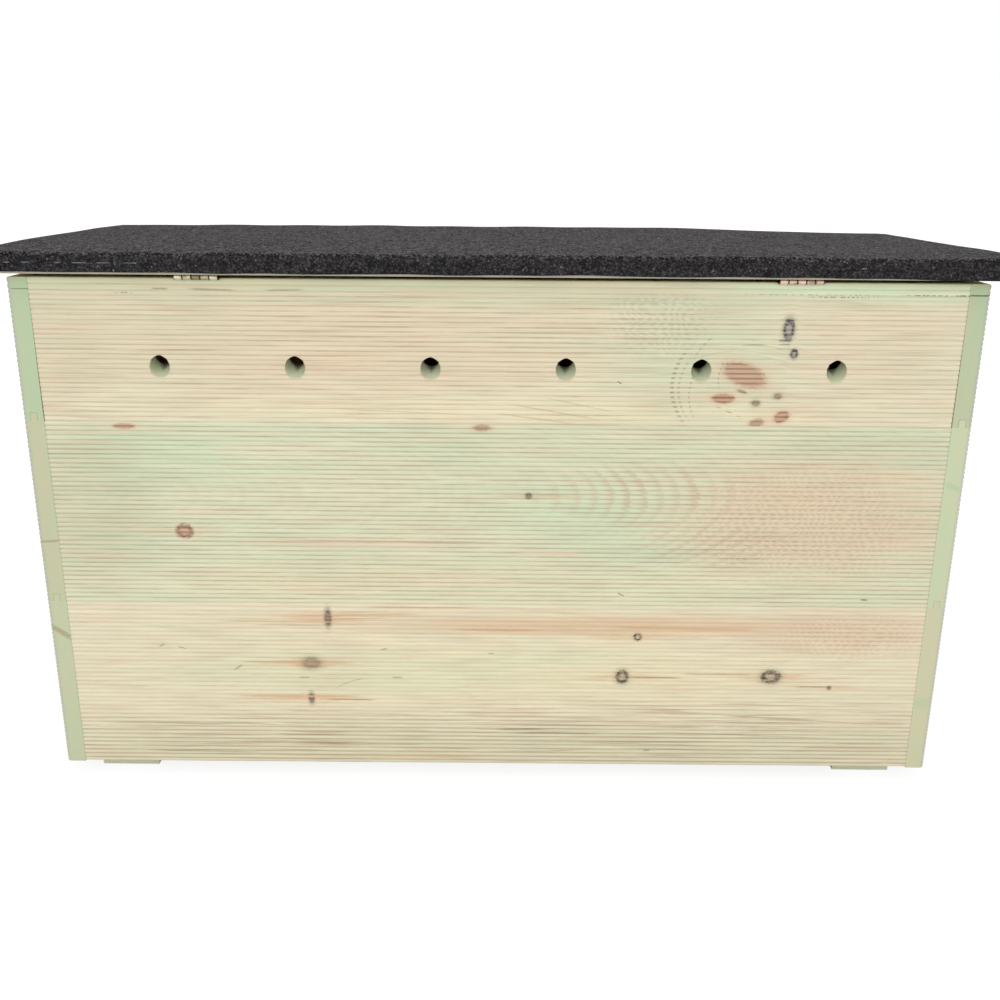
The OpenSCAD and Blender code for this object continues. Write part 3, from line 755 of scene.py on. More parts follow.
BACK["board_bottom"] = board(
    rings=Rings(62, 104, 0.03, 10.0), green=0.08, late=0.14, marks=-0.09, grain=0.12, rosy=0.14,
    knots=[
        ("dark", -134, 130.9, 2.6, 7.2), ("grey", -149, 91.4, 7.4, 5.0), ("dark", -150, 59.9, 2.2, 4.6),
        ("ringed", 113, 116.6, 2.6, 2.8), ("cracked", 102, 81.2, 4.6, 5.2),
        ("cracked", 222, 82.2, 7.0, 5.0), ("dark", 270, 72.8, 1.6, 1.6),
    ],
    patches=[
        ("straw", 0, 84, 330, 36, 0.7), ("green", -120, 84, 200, 24, 0.3),
        ("green", 40, 100, 60, 12, 0.3), ("orange", -130, 132, 90, 7, 0.22),
        ("orange", 90, 126, 220, 11, 0.5), ("pink", 270, 122, 100, 24, 0.7),
        ("hatch", 285, 118, 70, 24, 0.22), ("mint", 0, 14, 600, 30, 0.28),
        ("olive_mark", 0, 10, 600, 34, 0.12), ("marks", 0, 14, 700, 44, 0.26),
        ("grain", 0, 22, 420, 32, 0.55), ("grain", 200, 50, 170, 18, 0.4),
    ],
    strokes=[
        ("orange", 0.8, -172, 127.5, 56, 0.8), ("brown_mark", 0.5, -160, 124.4, 40, 0.6),
        ("orange", 0.8, -100, 134.0, 44, 0.8, 0.03), ("brown_mark", 0.5, -112, 130.6, 30, 0.5, 0.02),
        ("orange", 0.9, -60, 140.5, 52, 1.0), ("orange", 0.9, 150, 124.0, 70, 1.2, -0.01),
        ("orange", 0.9, 0, 121.5, 42, 1.2), ("orange", 0.9, -178, 92.0, 32, 0.9),
        ("orange", 0.9, -160, 61.5, 62, 1.0), ("brown_mark", 0.8, -118, 58.5, 24, 0.6),
        ("brown_mark", 0.8, 128, 80.5, 26, 0.7), ("brown_mark", 0.6, 180, 84.0, 34, 0.7),
        ("brown_mark", 0.7, 256, 73.4, 16, 0.6), ("olive_mark", 0.8, -268, 106, 3.0, 0.8, 0.4),
        ("olive_mark", 0.8, -252, 104, 3.4, 0.8, -0.3), ("olive_mark", 0.8, -208, 87, 5.0, 1.0, 0.6),
        ("olive_mark", 0.8, -155, 78.5, 5.0, 0.9), ("olive_mark", 0.6, -118, 75, 16, 0.5, 0.35, -0.01),
        ("olive_mark", 0.8, -90, 104, 3.4, 0.9, 0.2), ("olive_mark", 0.8, -80, 79, 5.0, 0.9),
        ("olive_mark", 0.7, -4, 101, 3.0, 0.8), ("knot_brown", 0.6, 20, 33, 22, 0.6, 0.02),
        ("knot_brown", 0.5, 50, 29, 40, 0.6, 0.0), ("knot_brown", 0.4, -170, 19, 60, 0.7, -0.02),
        ("knot_brown", 0.4, 120, 20, 60, 0.7, -0.02), ("knot_brown", 0.4, -240, 10, 50, 0.7, -0.01),
        ("knot_brown", 0.4, -270, 36, 60, 0.6, -0.01), ("knot_brown", 0.35, 240, 44, 80, 0.6, -0.06),
        ("knot_brown", 0.35, 200, 29, 90, 0.6, -0.03), ("orange", 0.55, -100, 7, 110, 1.2, -0.005),
        ("knot_dark", 0.5, 125, 14, 3.4, 0.7, 0.1),
    ],
)

# The ends of the side walls' boards that show beside the back wall: how grey and how light
# the end grain is, and its bands, in millimetres into the board and up from its bottom edge.
ENDS = {
    "right_top_strip": End(0.0, 1.0, [Stroke("knot_dark", 0.6, 9, 0.4, 9, 0.5, 0.0, 0.0, 0.5)]),
    "right_board_top": End(0.05, 1.0, []),
    "right_board_middle": End(
        0.75, 1.0, [Stroke("olive_mark", 0.85, 7.5, 50.3, 10, 1.3, 0.05, 0.01)]
    ),
    "right_board_bottom": End(0.55, 1.04, [Stroke("olive_mark", 0.8, 7.5, 117, 12, 3.0, -0.6)]),
    "left_top_strip": End(0.2, 1.0, [Stroke("knot_dark", 0.8, 7.5, 0.6, 10, 0.8, 0.0, 0.0, 0.4)]),
    "left_board_top": End(0.3, 1.0, []),
    "left_board_middle": End(0.45, 1.13, [Stroke("end_green", 0.6, 7.5, 100, 8, 3.0, 0.4)]),
    "left_board_bottom": End(0.9, 1.09, [Stroke("end_green", 0.5, 7.5, 60, 8, 6.0, 0.2)]),
}


def plain_board(wall, course):
    """A board that the back wall's list doesn't hold: its values follow from its place."""
    place = WALLS.index(wall) * len(COURSES) + COURSES.index(course)
    rng = np.random.default_rng(40 + place)
    half, count = (130, 2) if wall in ("left", "right") else (300, 3)
    knots = []
    for kind in rng.permutation(("grey", "red", "dark", "cracked"))[:count]:
        size = rng.uniform(3.0, 6.5)
        along, height = rng.uniform(-half, half), rng.uniform(12, 85)
        knots.append((str(kind), along, height, size, size * 0.85))
    patches = [
        (str(tint), rng.uniform(-half, half), rng.uniform(10, 90), half * 0.5, 20, 0.45)
        for tint in rng.permutation(["green", "pink", "straw", "grain", "rings"])
    ]
    return board(
        rings=Rings(rng.uniform(50, 80), rng.uniform(10, 110), rng.uniform(0.02, 0.1), 7.0),
        green=(0.12, 0.5, 0.16, 0.6)[COURSES.index(course)],
        late=0.14,
        marks=0.0,
        grain=0.15,
        knots=() if course == "top_strip" else knots,
        patches=patches,
        end=ENDS.get(wall + "_" + course),
    )


def knot_masks(n, board, knots):
    """The masks of each knot, and the sum of what they push the grain aside."""
    masks = []
    for knot in knots:
        ragged = 1.2 if knot.kind in ("ringed", "cracked") else 0.7
        masks.append(n.group("knot", knot, board=board, ragged=ragged))
    return masks, sum((mask["Push"] for mask in masks), 0.0)


def paint_knots(n, colour, knots, masks, pine, near):
    """Paints the knots of a board over its colour, most strongly in the grooves."""
    grip = n.ramp(near, 0.0, 1.0, 0.78, 1.0)
    for knot, mask in zip(knots, masks):
        for name, (tint, strength) in zip(("Tail", "Halo", "Heart", "Rim"), KNOT_KINDS[knot.kind]):
            if strength:
                colour = n.mix(mask[name] * strength * grip, colour, getattr(pine, tint))
        if knot.kind in ("red", "deep", "brown"):
            stripe = 0.5 if knot.kind == "deep" else 0.34
            share = mask["Heart"] * n.ramp(near, 0.0, 0.6) * stripe
            colour = n.mix(share, colour, pine.knot_brown)
    return colour


def paint_strokes(n, place, colour, strokes, pine, hold=1.0):
    """Paints thin marks over a board's colour, as strongly as hold lets them."""
    for stroke in strokes:
        mask = n.group("stroke", stroke, board=place)["Mask"]
        colour = n.mix(mask * stroke.strength * hold, colour, getattr(pine, stroke.tint))
    return colour


def paint_end(n, board, look, late, pine, seed):
    """The end grain of a board: green to grey in blotches, with a torn rim and its bands."""
    _, depth, height = n.split(board)
    end = look.end or End()
    blotch = n.noise(board, (0.0, 0.09, 0.02), 3.0, 0.6, seed + 5.0)
    grey = end.grey + (blotch - 0.5) * 1.6
    colour = n.mix(n.math("ADD", grey, 0.0, clamp=True), pine.end_green, pine.end_grey)
    rim = n.ramp(depth, 1.0, 3.4, 0.6, 0.0)
    colour = n.layers(colour, (late * 0.2, pine.cut), (rim, pine.end_rim))
    colour = n.mix(1.0, colour, (end.light, end.light, end.light), "MULTIPLY")
    return paint_strokes(n, n.join(depth, 0.0, height), colour, end.strokes, pine)


def board_material(node, wall, look, pine):
    """Reeded pine: tinted early wood, growth rings, groove marks, patches, knots and ends, with painted
    shade in the vents and, in part, on the inner face.
    """
    material, n, shader = new_material(node + "_pine", pine.cream)
    board = in_board(n, wall, node)
    along, depth, height = n.split(board)
    low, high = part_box(node)
    cover = (high.z - low.z) / MM - (0.0 if "top" in node else TONGUE)
    pitch = cover / round(cover / pine.reed_pitch)
    seed = float(sum(map(ord, node)) % 97)
    slow = n.noise(board, (0.006, 0.05, 0.03), 3.0, 0.55, seed)
    colour = n.mix(n.ramp((slow - 0.5) * 0.9 + look.green, 0.0, 1.0), pine.cream, pine.green)
    pattern = {"rings": look.late, "grain": look.grain, "hatch": 0.0, "marks": look.marks}
    for index, patch in enumerate(look.patches):
        share = n.group("patch", patch, board=board, seed=seed + index)["Mask"] * patch.strength
        if patch.tint in pattern:
            pattern[patch.tint] = pattern[patch.tint] + share
        else:
            colour = n.mix(share, colour, getattr(pine, patch.tint))
    marks = n.group(
        "reed marks", board=board, pitch=pitch, length=pine.mark_length, amount=pattern["marks"],
        seed=seed
    )
    masks, push = knot_masks(n, board, look.knots)
    rings = n.group(
        "growth rings", look.rings, board=board, width=pine.ring_width, push=push, seed=seed
    )
    late = rings["Late"] * n.ramp(rings["Strength"], 0.1, 0.9, 0.55, 1.0)
    pushed = n.vector("ADD", board, n.join(0.0, 0.0, push))
    lines = n.group("grain lines", board=pushed, seed=seed)["Line"]
    streak = n.noise(board, (0.011, 0.0, 0.19), 3.0, 0.6, seed + 7.0)
    rose = n.noise(board, (0.01, 0.0, 0.1), 3.0, 0.6, seed + 3.0) + look.rosy
    mark = n.mix(n.ramp(rose, 0.42, 0.62), pine.olive_mark, pine.brown_mark)
    colour = n.layers(
        colour,
        (n.ramp(streak, 0.5, 0.72, 0.0, 0.5), pine.pink),
        (n.ramp(streak, 0.3, 0.5, 0.15 + 0.4 * look.green, 0.0), pine.green),
        (late * pattern["rings"], pine.late),
        (lines * pattern["grain"], mark),
        (marks["Line"] * pine.mark_strength, mark),
    )
    if isinstance(pattern["hatch"], Value):
        colour = n.mix(marks["Hatch"] * pattern["hatch"], colour, mark)
    tone = n.ramp(marks["Tone"], 0.3, 0.7, 0.96, 1.04)
    colour = n.mix(1.0, colour, n.join(tone, tone, tone), "MULTIPLY")
    colour = paint_knots(n, colour, look.knots, masks, pine, marks["Near"])
    colour = paint_strokes(n, board, colour, look.arcs, pine, n.ramp(marks["Near"], 0.1, 0.7))
    colour = paint_strokes(n, board, colour, look.strokes, pine)
    fibres = n.group("fibres", board=board, seed=seed)
    under = n.ramp(depth, *UNDER_REEDS)
    core = under * n.fall(depth, BOARD_THICK - 0.9, BOARD_THICK - 0.3) * 0.85
    # The inner face is painted in the inside colour: partly a duller face of the wood, partly painted
    # shade that keeps the box's inside dark where it shows through the vents.
    inner = n.ramp(depth, BOARD_THICK - 0.6, BOARD_THICK - 0.2, 0.0, 0.68)
    planed = n.layers(pine.inside, (late * 0.45, pine.late), (lines * 0.3, pine.brown_mark))
    colour = n.layers(colour, (core, pine.cut), (inner, planed))
    # Painted shade in the vents: the deeper into a bore, the more the wood is painted towards the shadow
    # colour, drawing the shade below each vent's dark inner mouth.
    if node == "back_board_top":
        beside = abs(n.math("FRACT", along / pine.vent_pitch) - 0.5) * pine.vent_pitch
        axis = pine.vent_height + depth * VENT_SLOPE
        around = n.vector("LENGTH", n.join(beside, height - axis, 0.0))
        deep = n.ramp(depth - beside + fibres["Tone"] * 2.0, 7.0, BOARD_THICK, 0.0, 0.88)
        mouth = n.fall(around, VENT_REACH, VENT_REACH + 0.8)
        colour = n.mix(deep * mouth * under, colour, pine.shadow)
    half = max((high - low).xy) / MM / 2
    end = n.ramp(abs(along), half - 0.6, half - 0.2)
    colour = n.mix(end, colour, paint_end(n, board, look, late, pine, seed))
    dull = n.math("ADD", (fibres["Tone"] - 0.5) * 0.15, pine.roughness, clamp=True)
    height = fibres["Height"] + late * 0.4
    finish(n, shader, colour, dull, height, strength=0.5, distance=0.12)
    return material


class HEDGEHOG_OT_boards(bpy.types.Operator):
    """Give each reeded wall board and strip its grain, knots and groove marks"""

    bl_idname = "hedgehog.boards"
    bl_label = "Reeded boards"

    def execute(self, context):
        make_groups()
        pine = settings(context)["pine"]
        for wall in WALLS:
            for course in COURSES:
                node = wall + "_" + course
                look = BACK[course] if wall == "back" else plain_board(wall, course)
                wear([node], board_material(node, wall, look, pine))
        return {"FINISHED"}


def roof_tilt():
    """How far the closed lid slopes down to the front, from the normal of its largest face."""
    face = max(NODES["lid_board"].data.polygons, key=lambda p: p.area)
    up = face.normal * math.copysign(1, face.normal.z)
    return math.atan2(-up.y, up.z)


def lid_frame():
    """The matrix that takes the lid's own level frame, with its origin on the hinge line,
    to the closed lid's place."""
    return Matrix.Translation(Vector(HINGE["pos_m"])) @ Matrix.Rotation(roof_tilt(), 4, "X")


def lid_box(node):
    """The lowest and highest corner of a lid node in the lid's own level frame."""
    back = lid_frame().inverted()
    points = np.array([back @ v.co for v in NODES[node].data.vertices])
    return points.min(0), points.max(0)


def in_level(n, tilt=0.0, origin=ORIGIN):
    """Object coordinates in millimetres, untilted about a line along X through origin."""
    moved = n.vector("SUBTRACT", n.place(), tuple(origin))
    return n.node("Mapping", vector=moved, rotation=(tilt, 0.0, 0.0), scale=IN_MM)["Vector"]


def plywood_material(timber, name, thick_axis, low, edge, tilt=0.0, origin=ORIGIN):
    """Plywood: a rotary-cut face with wide wandering rings, and plies that show on its edges."""
    material, n, shader = new_material(name, timber.veneer)
    parts = n.split(in_level(n, tilt, origin))
    through = parts[thick_axis] - low / MM
    grain, across = parts[0 if thick_axis else 1], parts[2 if thick_axis < 2 else 1]
    face = n.group(
        "growth rings", board=n.join(grain * 0.45, through, across), pith_depth=90.0,
        pith_height=40.0, rise=0.05, squeeze=0.25, width=2.2, waver=30.0, seed=3.0
    )
    fibres = n.group("fibres", board=n.join(grain, through, across), seed=9.0)
    lines = n.ramp(fibres["Tone"], 0.4, 0.7, 0.0, 0.25)
    veneer = n.layers(timber.veneer, (face["Late"] * 0.35, timber.glue), (lines, timber.glue))
    ply = n.math("FRACT", through / (timber.ply_thickness * 2))
    seams = n.ramp(ply, 0.46, 0.5) * n.fall(ply, 0.96, 1.0) * 0.4
    torn = n.ramp(fibres["Height"], 0.4, 0.7, 0.0, 0.25)
    edged = n.layers(edge, (seams, timber.glue), (torn, timber.glue))
    flat = abs(n.split(n.place("Normal"))[thick_axis])
    colour = n.mix(n.ramp(flat, 0.4, 0.7), edged, veneer)
    dull = n.ramp(fibres["Tone"], 0.2, 0.8, 0.6, 0.8)
    finish(n, shader, colour, dull, fibres["Height"], strength=0.4, distance=0.1)
    return material


def post_material(node, light, dark, rough):
    """A post, cleat or foot batten: growth rings round a pith beside it."""
    material, n, shader = new_material(node + "_wood", light)
    low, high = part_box(node)
    size = high - low
    order = (2, 0, 1) if size.z > size.y else (1, 0, 2)
    parts = n.split(in_level(n))
    board = n.join(*(parts[index] for index in order))
    corner = n.vector("SUBTRACT", board, tuple(low[index] / MM for index in order))
    rings = n.group(
        "growth rings", board=corner, pith_depth=18.0, pith_height=-22.0, rise=0.01, waver=5.0,
        seed=float(len(node))
    )
    fibres = n.group("fibres", board=board, seed=4.0)
    lines = n.ramp(fibres["Tone"], 0.35, 0.7, 0.0, 0.35)
    colour = n.layers(light, (rings["Late"] * 0.55, dark), (lines, dark))
    dull = n.ramp(fibres["Tone"], 0.2, 0.8, rough - 0.1, rough)
    finish(n, shader, colour, dull, fibres["Height"], strength=0.6, distance=0.2)
    return material


class HEDGEHOG_OT_timber(bpy.types.Operator):
    """Finish the plywood, the posts, the cleats and the feet"""

    bl_idname = "hedgehog.timber"
    bl_label = "Plywood, posts and feet"

    def execute(self, context):
        make_groups()
        timber = settings(context)["timber"]
        floor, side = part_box("floor_panel")[0].z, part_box("partition")[0].x
        under, turned = lid_box("lid_board")[0][2], (-roof_tilt(), HINGE["pos_m"])
        for node, *ply in (
            ("floor_panel", "floor_ply", 2, floor, timber.veneer),
            ("partition", "partition_ply", 0, side, timber.veneer),
            ("lid_board", "lid_ply", 2, under, timber.lid_edge, *turned),
        ):
            wear([node], plywood_material(timber, *ply))
        posts = ("front_left_post", "front_right_post", "back_left_post", "back_right_post")
        for node in (*posts, "front_partition_cleat", "back_partition_cleat"):
            wear([node], post_material(node, timber.post, timber.glue, 0.7))
        # The feet's pale colours hold painted light against the shade under the house.
        for node in ("left_foot_batten", "right_foot_batten"):
            wear([node], post_material(node, timber.foot, timber.foot_dark, 0.9))
        return {"FINISHED"}


def ripple(x, y, length, seed, count=7):
    """A smooth uneven surface between about -1 and 1: the mean of a few sine waves whose
    directions, lengths near the given one and phases are drawn from the seed."""
    rng = np.random.default_rng(seed)
    total = np.zeros(np.broadcast(x, y).shape)
    for _ in range(count):
        angle, phase = rng.uniform(0, 2 * math.pi, 2)
        wave = 2 * math.pi / (length * rng.uniform(0.6, 1.7))
        total = total + np.sin(wave * (x * math.cos(angle) + y * math.sin(angle)) + phase)
    return total / math.sqrt(count)


def bell(values, middle, width):
    """A soft bump of height 1: it falls off with the square of the distance in widths."""
    return np.exp(-(((values - middle) / width) ** 2))


def grid_faces(rows, columns, first=0, turned=False):
    """The quads of a grid of points that is stored row by row."""
    row, column = np.meshgrid(np.arange(rows - 1), np.arange(columns - 1), indexing="ij")
    corner = (first + row * columns + column).ravel()
    quads = np.stack([corner, corner + 1, corner + columns + 1, corner + columns], 1)
    return quads[:, ::-1] if turned else quads


def mesh_object(name, points, faces):
    """A mesh object at the origin from whole arrays of points and quads."""
    mesh = bpy.data.meshes.new(name)
    mesh.from_pydata(np.asarray(points, float).tolist(), [], np.asarray(faces).tolist())
    mesh.validate()
    mesh.update()
    made = bpy.data.objects.new(name, mesh)
    bpy.context.scene.collection.objects.link(made)
    return made


def felt_grid(low, high, bend, step, hem):
    """The felt's grid: how far each row or column reaches past the flat core, and where on
    the core it stands."""
    core_low, core_high = low + bend, high - bend
    count = max(2, int(round((core_high - core_low) / step)) + 1)
    turn = np.linspace(0, bend * QUARTER, 6)[1:]
    drop = np.linspace(bend * QUARTER, bend * QUARTER + hem, 6)[1:]
    past = np.concatenate([turn, drop])
    before, after = np.full(len(past), core_low), np.full(len(past), core_high)
    stand = np.concatenate([before, np.linspace(core_low, core_high, count), after])
    return stand, np.concatenate([-past[::-1], np.zeros(count), past])


def felt_surface(x, y, past_x, past_y, bend, top):
    """A sheet bent down over four edges.

    A point past the flat core lies on a quarter circle of the bend's radius and then
    straight down. Past both, the larger distance counts and the direction turns evenly
    round the corner.
    """
    reach_x, reach_y = np.abs(past_x), np.abs(past_y)
    reach = np.maximum(reach_x, reach_y)
    least = np.minimum(reach_x, reach_y)
    share = np.divide(least, reach, out=np.zeros_like(reach), where=reach > 0)
    turn = np.where(reach_x >= reach_y, share, 2 - share) * math.pi / 4
    out_x, out_y = np.cos(turn) * np.sign(past_x), np.sin(turn) * np.sign(past_y)
    bent = np.minimum(reach / bend, QUARTER)
    drop = bend * (1 - np.cos(bent)) + np.maximum(reach - bend * QUARTER, 0)
    flat = np.sin(bent)
    points = np.stack([x + bend * flat * out_x, y + bend * flat * out_y, top - drop], -1)
    normals = np.stack([flat * out_x, flat * out_y, np.cos(bent)], -1)
    return points, normals, reach


def felt_swell(x, y, low, high, turned_down, felt):
    """How far the sheet stands off: soft waves, a bead along the bends, a lift that grows to
    the front and at the back corners, and a hem that lies a little in."""
    back_gap, front_gap = high[1] - y, y - low[1]
    roll = ripple(x, y, 0.09, 5) * felt.wave
    uneven = 1 + 0.5 * ripple(x, y * 0, 0.06, 8)
    bead = felt.bead * uneven * bell(back_gap, 0.006, 0.004)
    bead -= 0.7 * felt.bead * uneven * bell(back_gap, 0.014, 0.005)
    bead += 0.4 * felt.bead * ripple(x, y, 0.1, 11) * bell(front_gap, 0.0, 0.03)
    rise = np.clip(back_gap / (high[1] - low[1]), 0, 1) ** 0.7
    flatter = 1 - 0.95 * bell(x, -0.34, 0.11)
    corner = bell(np.abs(x), 0.385, 0.07) * bell(front_gap, 0.0, 0.02)
    left = bell(x, -HALF_LID, 0.04) * bell(back_gap, 0.0, 0.17)
    right = bell(x, HALF_LID, 0.04) * bell(back_gap, 0.12, 0.09)
    lift = felt.lift * (rise * flatter + 0.45 * left + 0.25 * right - 0.4 * corner)
    return (1 - turned_down) * (roll * 0.6 + bead + lift) - turned_down * np.abs(roll) * 0.3


# Scratches on the roof, in millimetres along X and Y of the frame.
FELT_MARKS = [Stroke("pale", 0.7, -213, -43, 22, 0.9, 1.99, 0.0, 0.6)]


def felt_material(felt):
    """Mineral-faced felt: granules of three tones in black bitumen, plainer on the hem. The top is
    painted lighter than the hem, as painted light from above.
    """
    material, n, shader = new_material("roof_felt_mineral", felt.top)
    place = n.place()
    fine = n.group("speckle", place=place, scale=1 / felt.granule)
    coarse = n.group("speckle", place=place, scale=0.9 / felt.granule)
    hem = n.node("Attribute", {"attribute_name": "hem"})["Fac"]
    streak = n.noise(place, (9.0, 60.0, 60.0), 4.0, 0.6)
    mottle = n.noise(place, (300.0, 110.0, 560.0), 3.5, 0.85)
    cloud = n.noise(place, (140.0, 50.0, 140.0), 3.0, 0.7)
    ragged = n.noise(place, (60.0, 60.0, 60.0), 3.0, 0.6)
    crease = n.ramp(hem, 0.05, 0.3) * n.fall(hem, 0.5, 0.9) * n.ramp(ragged, 0.4, 0.6, 0.2, 1.0)
    colour = n.layers(
        # Painted light: the top takes the lighter colour and the turned-down hem the darker one.
        n.mix(hem, felt.top, felt.side),
        (n.ramp(streak, 0.4, 0.7, 0.0, 0.35), felt.bitumen),
        (n.ramp(cloud, 0.38, 0.54, 0.6, 0.0), felt.bitumen),
        (n.fall(mottle, 0.4, 0.52) * n.ramp(hem, 0.0, 1.0, 1.0, 0.45), felt.bitumen),
        (n.ramp(mottle, 0.52, 0.62) * n.ramp(hem, 0.0, 1.0, 1.0, 0.16), felt.fleck),
        (crease * 0.8, felt.bitumen),
        (n.fall(fine["Value"], 0.1, 0.55) * n.ramp(hem, 0.0, 1.0, 0.8, 0.45), felt.bitumen),
        (n.ramp(fine["Value"], 0.6, 0.9) * n.ramp(hem, 0.0, 1.0, 0.8, 0.3), felt.fleck),
        (n.math("GREATER_THAN", coarse["Value"], 0.975) * fine["Dome"] * 0.8, felt.pale),
    )
    x, y, _ = n.split(in_level(n))
    colour = paint_strokes(n, n.join(x, 0.0, y), colour, FELT_MARKS, felt)
    shader["Specular IOR Level"].default_value = 0.05
    height = fine["Dome"] + n.noise(place, (250, 250, 250), 3.0) * 0.8
    dull = n.ramp(fine["Value"], 0.0, 1.0, 0.95, 0.75)
    finish(n, shader, colour, dull, height, strength=0.8, distance=0.35)
    return material


class HEDGEHOG_OT_felt(bpy.types.Operator):
    """Lay the roofing felt over the lid board"""

    bl_idname = "hedgehog.felt"
    bl_label = "Roofing felt"

    def execute(self, context):
        make_groups()
        felt = settings(context)["felt"]
        low, high = lid_box("roof_felt")
        thick = high[2] - lid_box("lid_board")[1][2]
        hem = high[2] - low[2] - felt.bend
        x, past_x = felt_grid(low[0], high[0], felt.bend, felt.step, hem)
        y, past_y = felt_grid(low[1], high[1], felt.bend, felt.step, hem)
        x, y = np.meshgrid(x, y, indexing="xy")
        past_x, past_y = np.meshgrid(past_x, past_y, indexing="xy")
        points, normals, reach = felt_surface(x, y, past_x, past_y, felt.bend, high[2])
        inside = points - normals * thick
        turned_down = np.clip(reach / (felt.bend * QUARTER), 0, 1)
        flat_x, flat_y = x + past_x, y + past_y
        swell = felt_swell(flat_x, flat_y, low, high, turned_down, felt)
        points = points + normals * swell[..., None]
        edge = np.clip((reach - felt.bend * QUARTER) / hem, 0, 1)
        ragged = ripple(flat_x, flat_y, 0.05, 21) * 0.35 * MM
        lower = np.clip((-flat_x / MM - 270) / 60, 0, 1) * 1.6 * MM * (high[1] - flat_y < 0)
        points[..., 2] += edge * (ragged - lower)
        inside[..., 2] += edge * (ragged - lower)
        rows, columns = x.shape
        total = rows * columns
        index = np.arange(total).reshape(rows, columns)
        border = np.concatenate([index[0], index[1:, -1], index[-1, -2::-1], index[-2:0:-1, 0]])
        following = np.roll(border, -1)
        rim = np.stack([following, border, border + total, following + total], 1)
        faces = [grid_faces(rows, columns), grid_faces(rows, columns, total, turned=True), rim]
        placed = lid_frame()
        turn, shift = np.array(placed.to_3x3()), np.array(placed.translation)
        both = np.concatenate([points.reshape(-1, 3), inside.reshape(-1, 3)]) @ turn.T + shift
        sheet = mesh_object("roof_felt_sheet", both, np.concatenate(faces))
        sheet.data.polygons.foreach_set("use_smooth", np.ones(len(sheet.data.polygons), bool))
        hemmed = sheet.data.attributes.new("hem", "FLOAT", "POINT")
        hemmed.data.foreach_set("value", np.tile(turned_down.ravel(), 2).astype(np.float32))
        sheet.data.materials.append(felt_material(felt))
        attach(sheet, "lid")
        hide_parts("roof_felt")
        wrap = 2 * (hem + felt.bend * (QUARTER - 1))
        high[1] - low[1] + wrap
        high[0] - low[0] + wrap
        return {"FINISHED"}


def metal_material(name, light, dark, rough, spread, start=0.0, length=0.0, own=0.6, gap_shade=0.0):
    """Plated metal: two tones in soft blotches, brushed scratches and dull spots.

    A length divides the metal along X into pieces, such as knuckles or staples, from start
    on: own is how far a piece may be duller than the next, and the last argument how dark the painted
    shade in the gaps between them is.
    """
    material, n, shader = new_material(name, light)
    place = n.place()
    blotch = n.noise(place, (spread, spread, spread), 4.0, 0.6)
    scratch = n.noise(place, (180.0, 2600.0, 2600.0), roughness=0.6)
    dulled, scratched = n.ramp(blotch, 0.45, 0.75, 0.0, 0.8), n.ramp(scratch, 0.55, 0.8, 0.0, 0.35)
    colour = n.layers(light, (dulled, dark), (scratched, dark))
    if length:
        turns = (n.split(place)[0] - start) / length
        duller = n.ramp(n.lot(turns, start), 0.2, 0.9, 0.0, own)
        # Painted shade: the metal is darkened at the gaps between the pieces, where shade falls.
        gap = n.ramp(abs(n.math("FRACT", turns) - 0.5), 0.37, 0.46, 0.0, gap_shade)
        colour = n.layers(colour, (duller, dark), (gap, tuple(v * 0.15 for v in dark)))
    shader["Metallic"].default_value = 1.0
    dull = n.ramp(blotch, 0.3, 0.7, rough - 0.08, rough + 0.14)
    finish(n, shader, colour, dull, scratch + blotch, strength=0.3, distance=0.05)
    return material


class HEDGEHOG_OT_metal(bpy.types.Operator):
    """Finish the hinges, the staples, the screws and the nails"""

    bl_idname = "hedgehog.metal"
    bl_label = "Hinges and fixings"

    def execute(self, context):
        metal = settings(context)["metal"]
        zinc = metal_material("zinc_steel", metal.zinc, metal.zinc_dull, 0.38, 420.0)
        wear(("frame_screws", "floor_screws", "partition_screws", "strip_nails"), zinc)
        for side, tone in (("left", metal.copper), ("right", metal.brass)):
            low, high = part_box(side + "_hinge_wall_leaf")
            # The last value darkens the gaps between the knuckles as painted shade.
            knuckles = (low.x, (high.x - low.x) / KNUCKLES, 0.85, 0.95)
            hinge = side + "_hinge_"
            brass = metal_material(hinge + "brass", tone, metal.tarnish, 0.34, 260.0, *knuckles)
            wear([hinge + part for part in ("wall_leaf", "lid_leaf", "pin")], brass)
        brass = metal_material("screw_brass", metal.brass, metal.tarnish, 0.34, 260.0)
        wear(("wall_leaf_screws", "lid_leaf_screws"), brass)
        staples = (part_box("felt_staples")[0].x - metal.staple_pitch / 4, metal.staple_pitch, 0.95)
        dull = metal_material("staple_zinc", metal.zinc_dull, metal.grime, 0.5, 420.0, *staples)
        wear(["felt_staples"], dull)
        return {"FINISHED"}


def soft_lamp(name, power, wide, deep, place, target):
    """A large area lamp that faces a point."""
    lamp = bpy.data.lights.new(name, "AREA")
    lamp.shape, lamp.size, lamp.size_y, lamp.energy = "RECTANGLE", wide, deep, power
    made = bpy.data.objects.new(name, lamp)
    made.location = place
    made.rotation_euler = (Vector(target) - Vector(place)).to_track_quat("-Z", "Y").to_euler()
    bpy.context.scene.collection.objects.link(made)


def seen(n):
    """1 for rays of the camera and for those seen in gloss or through glass."""
    path = n.node("LightPath")
    glossy = n.most(path["Is Camera Ray"], path["Is Glossy Ray"])
    return n.most(glossy, path["Is Transmission Ray"])


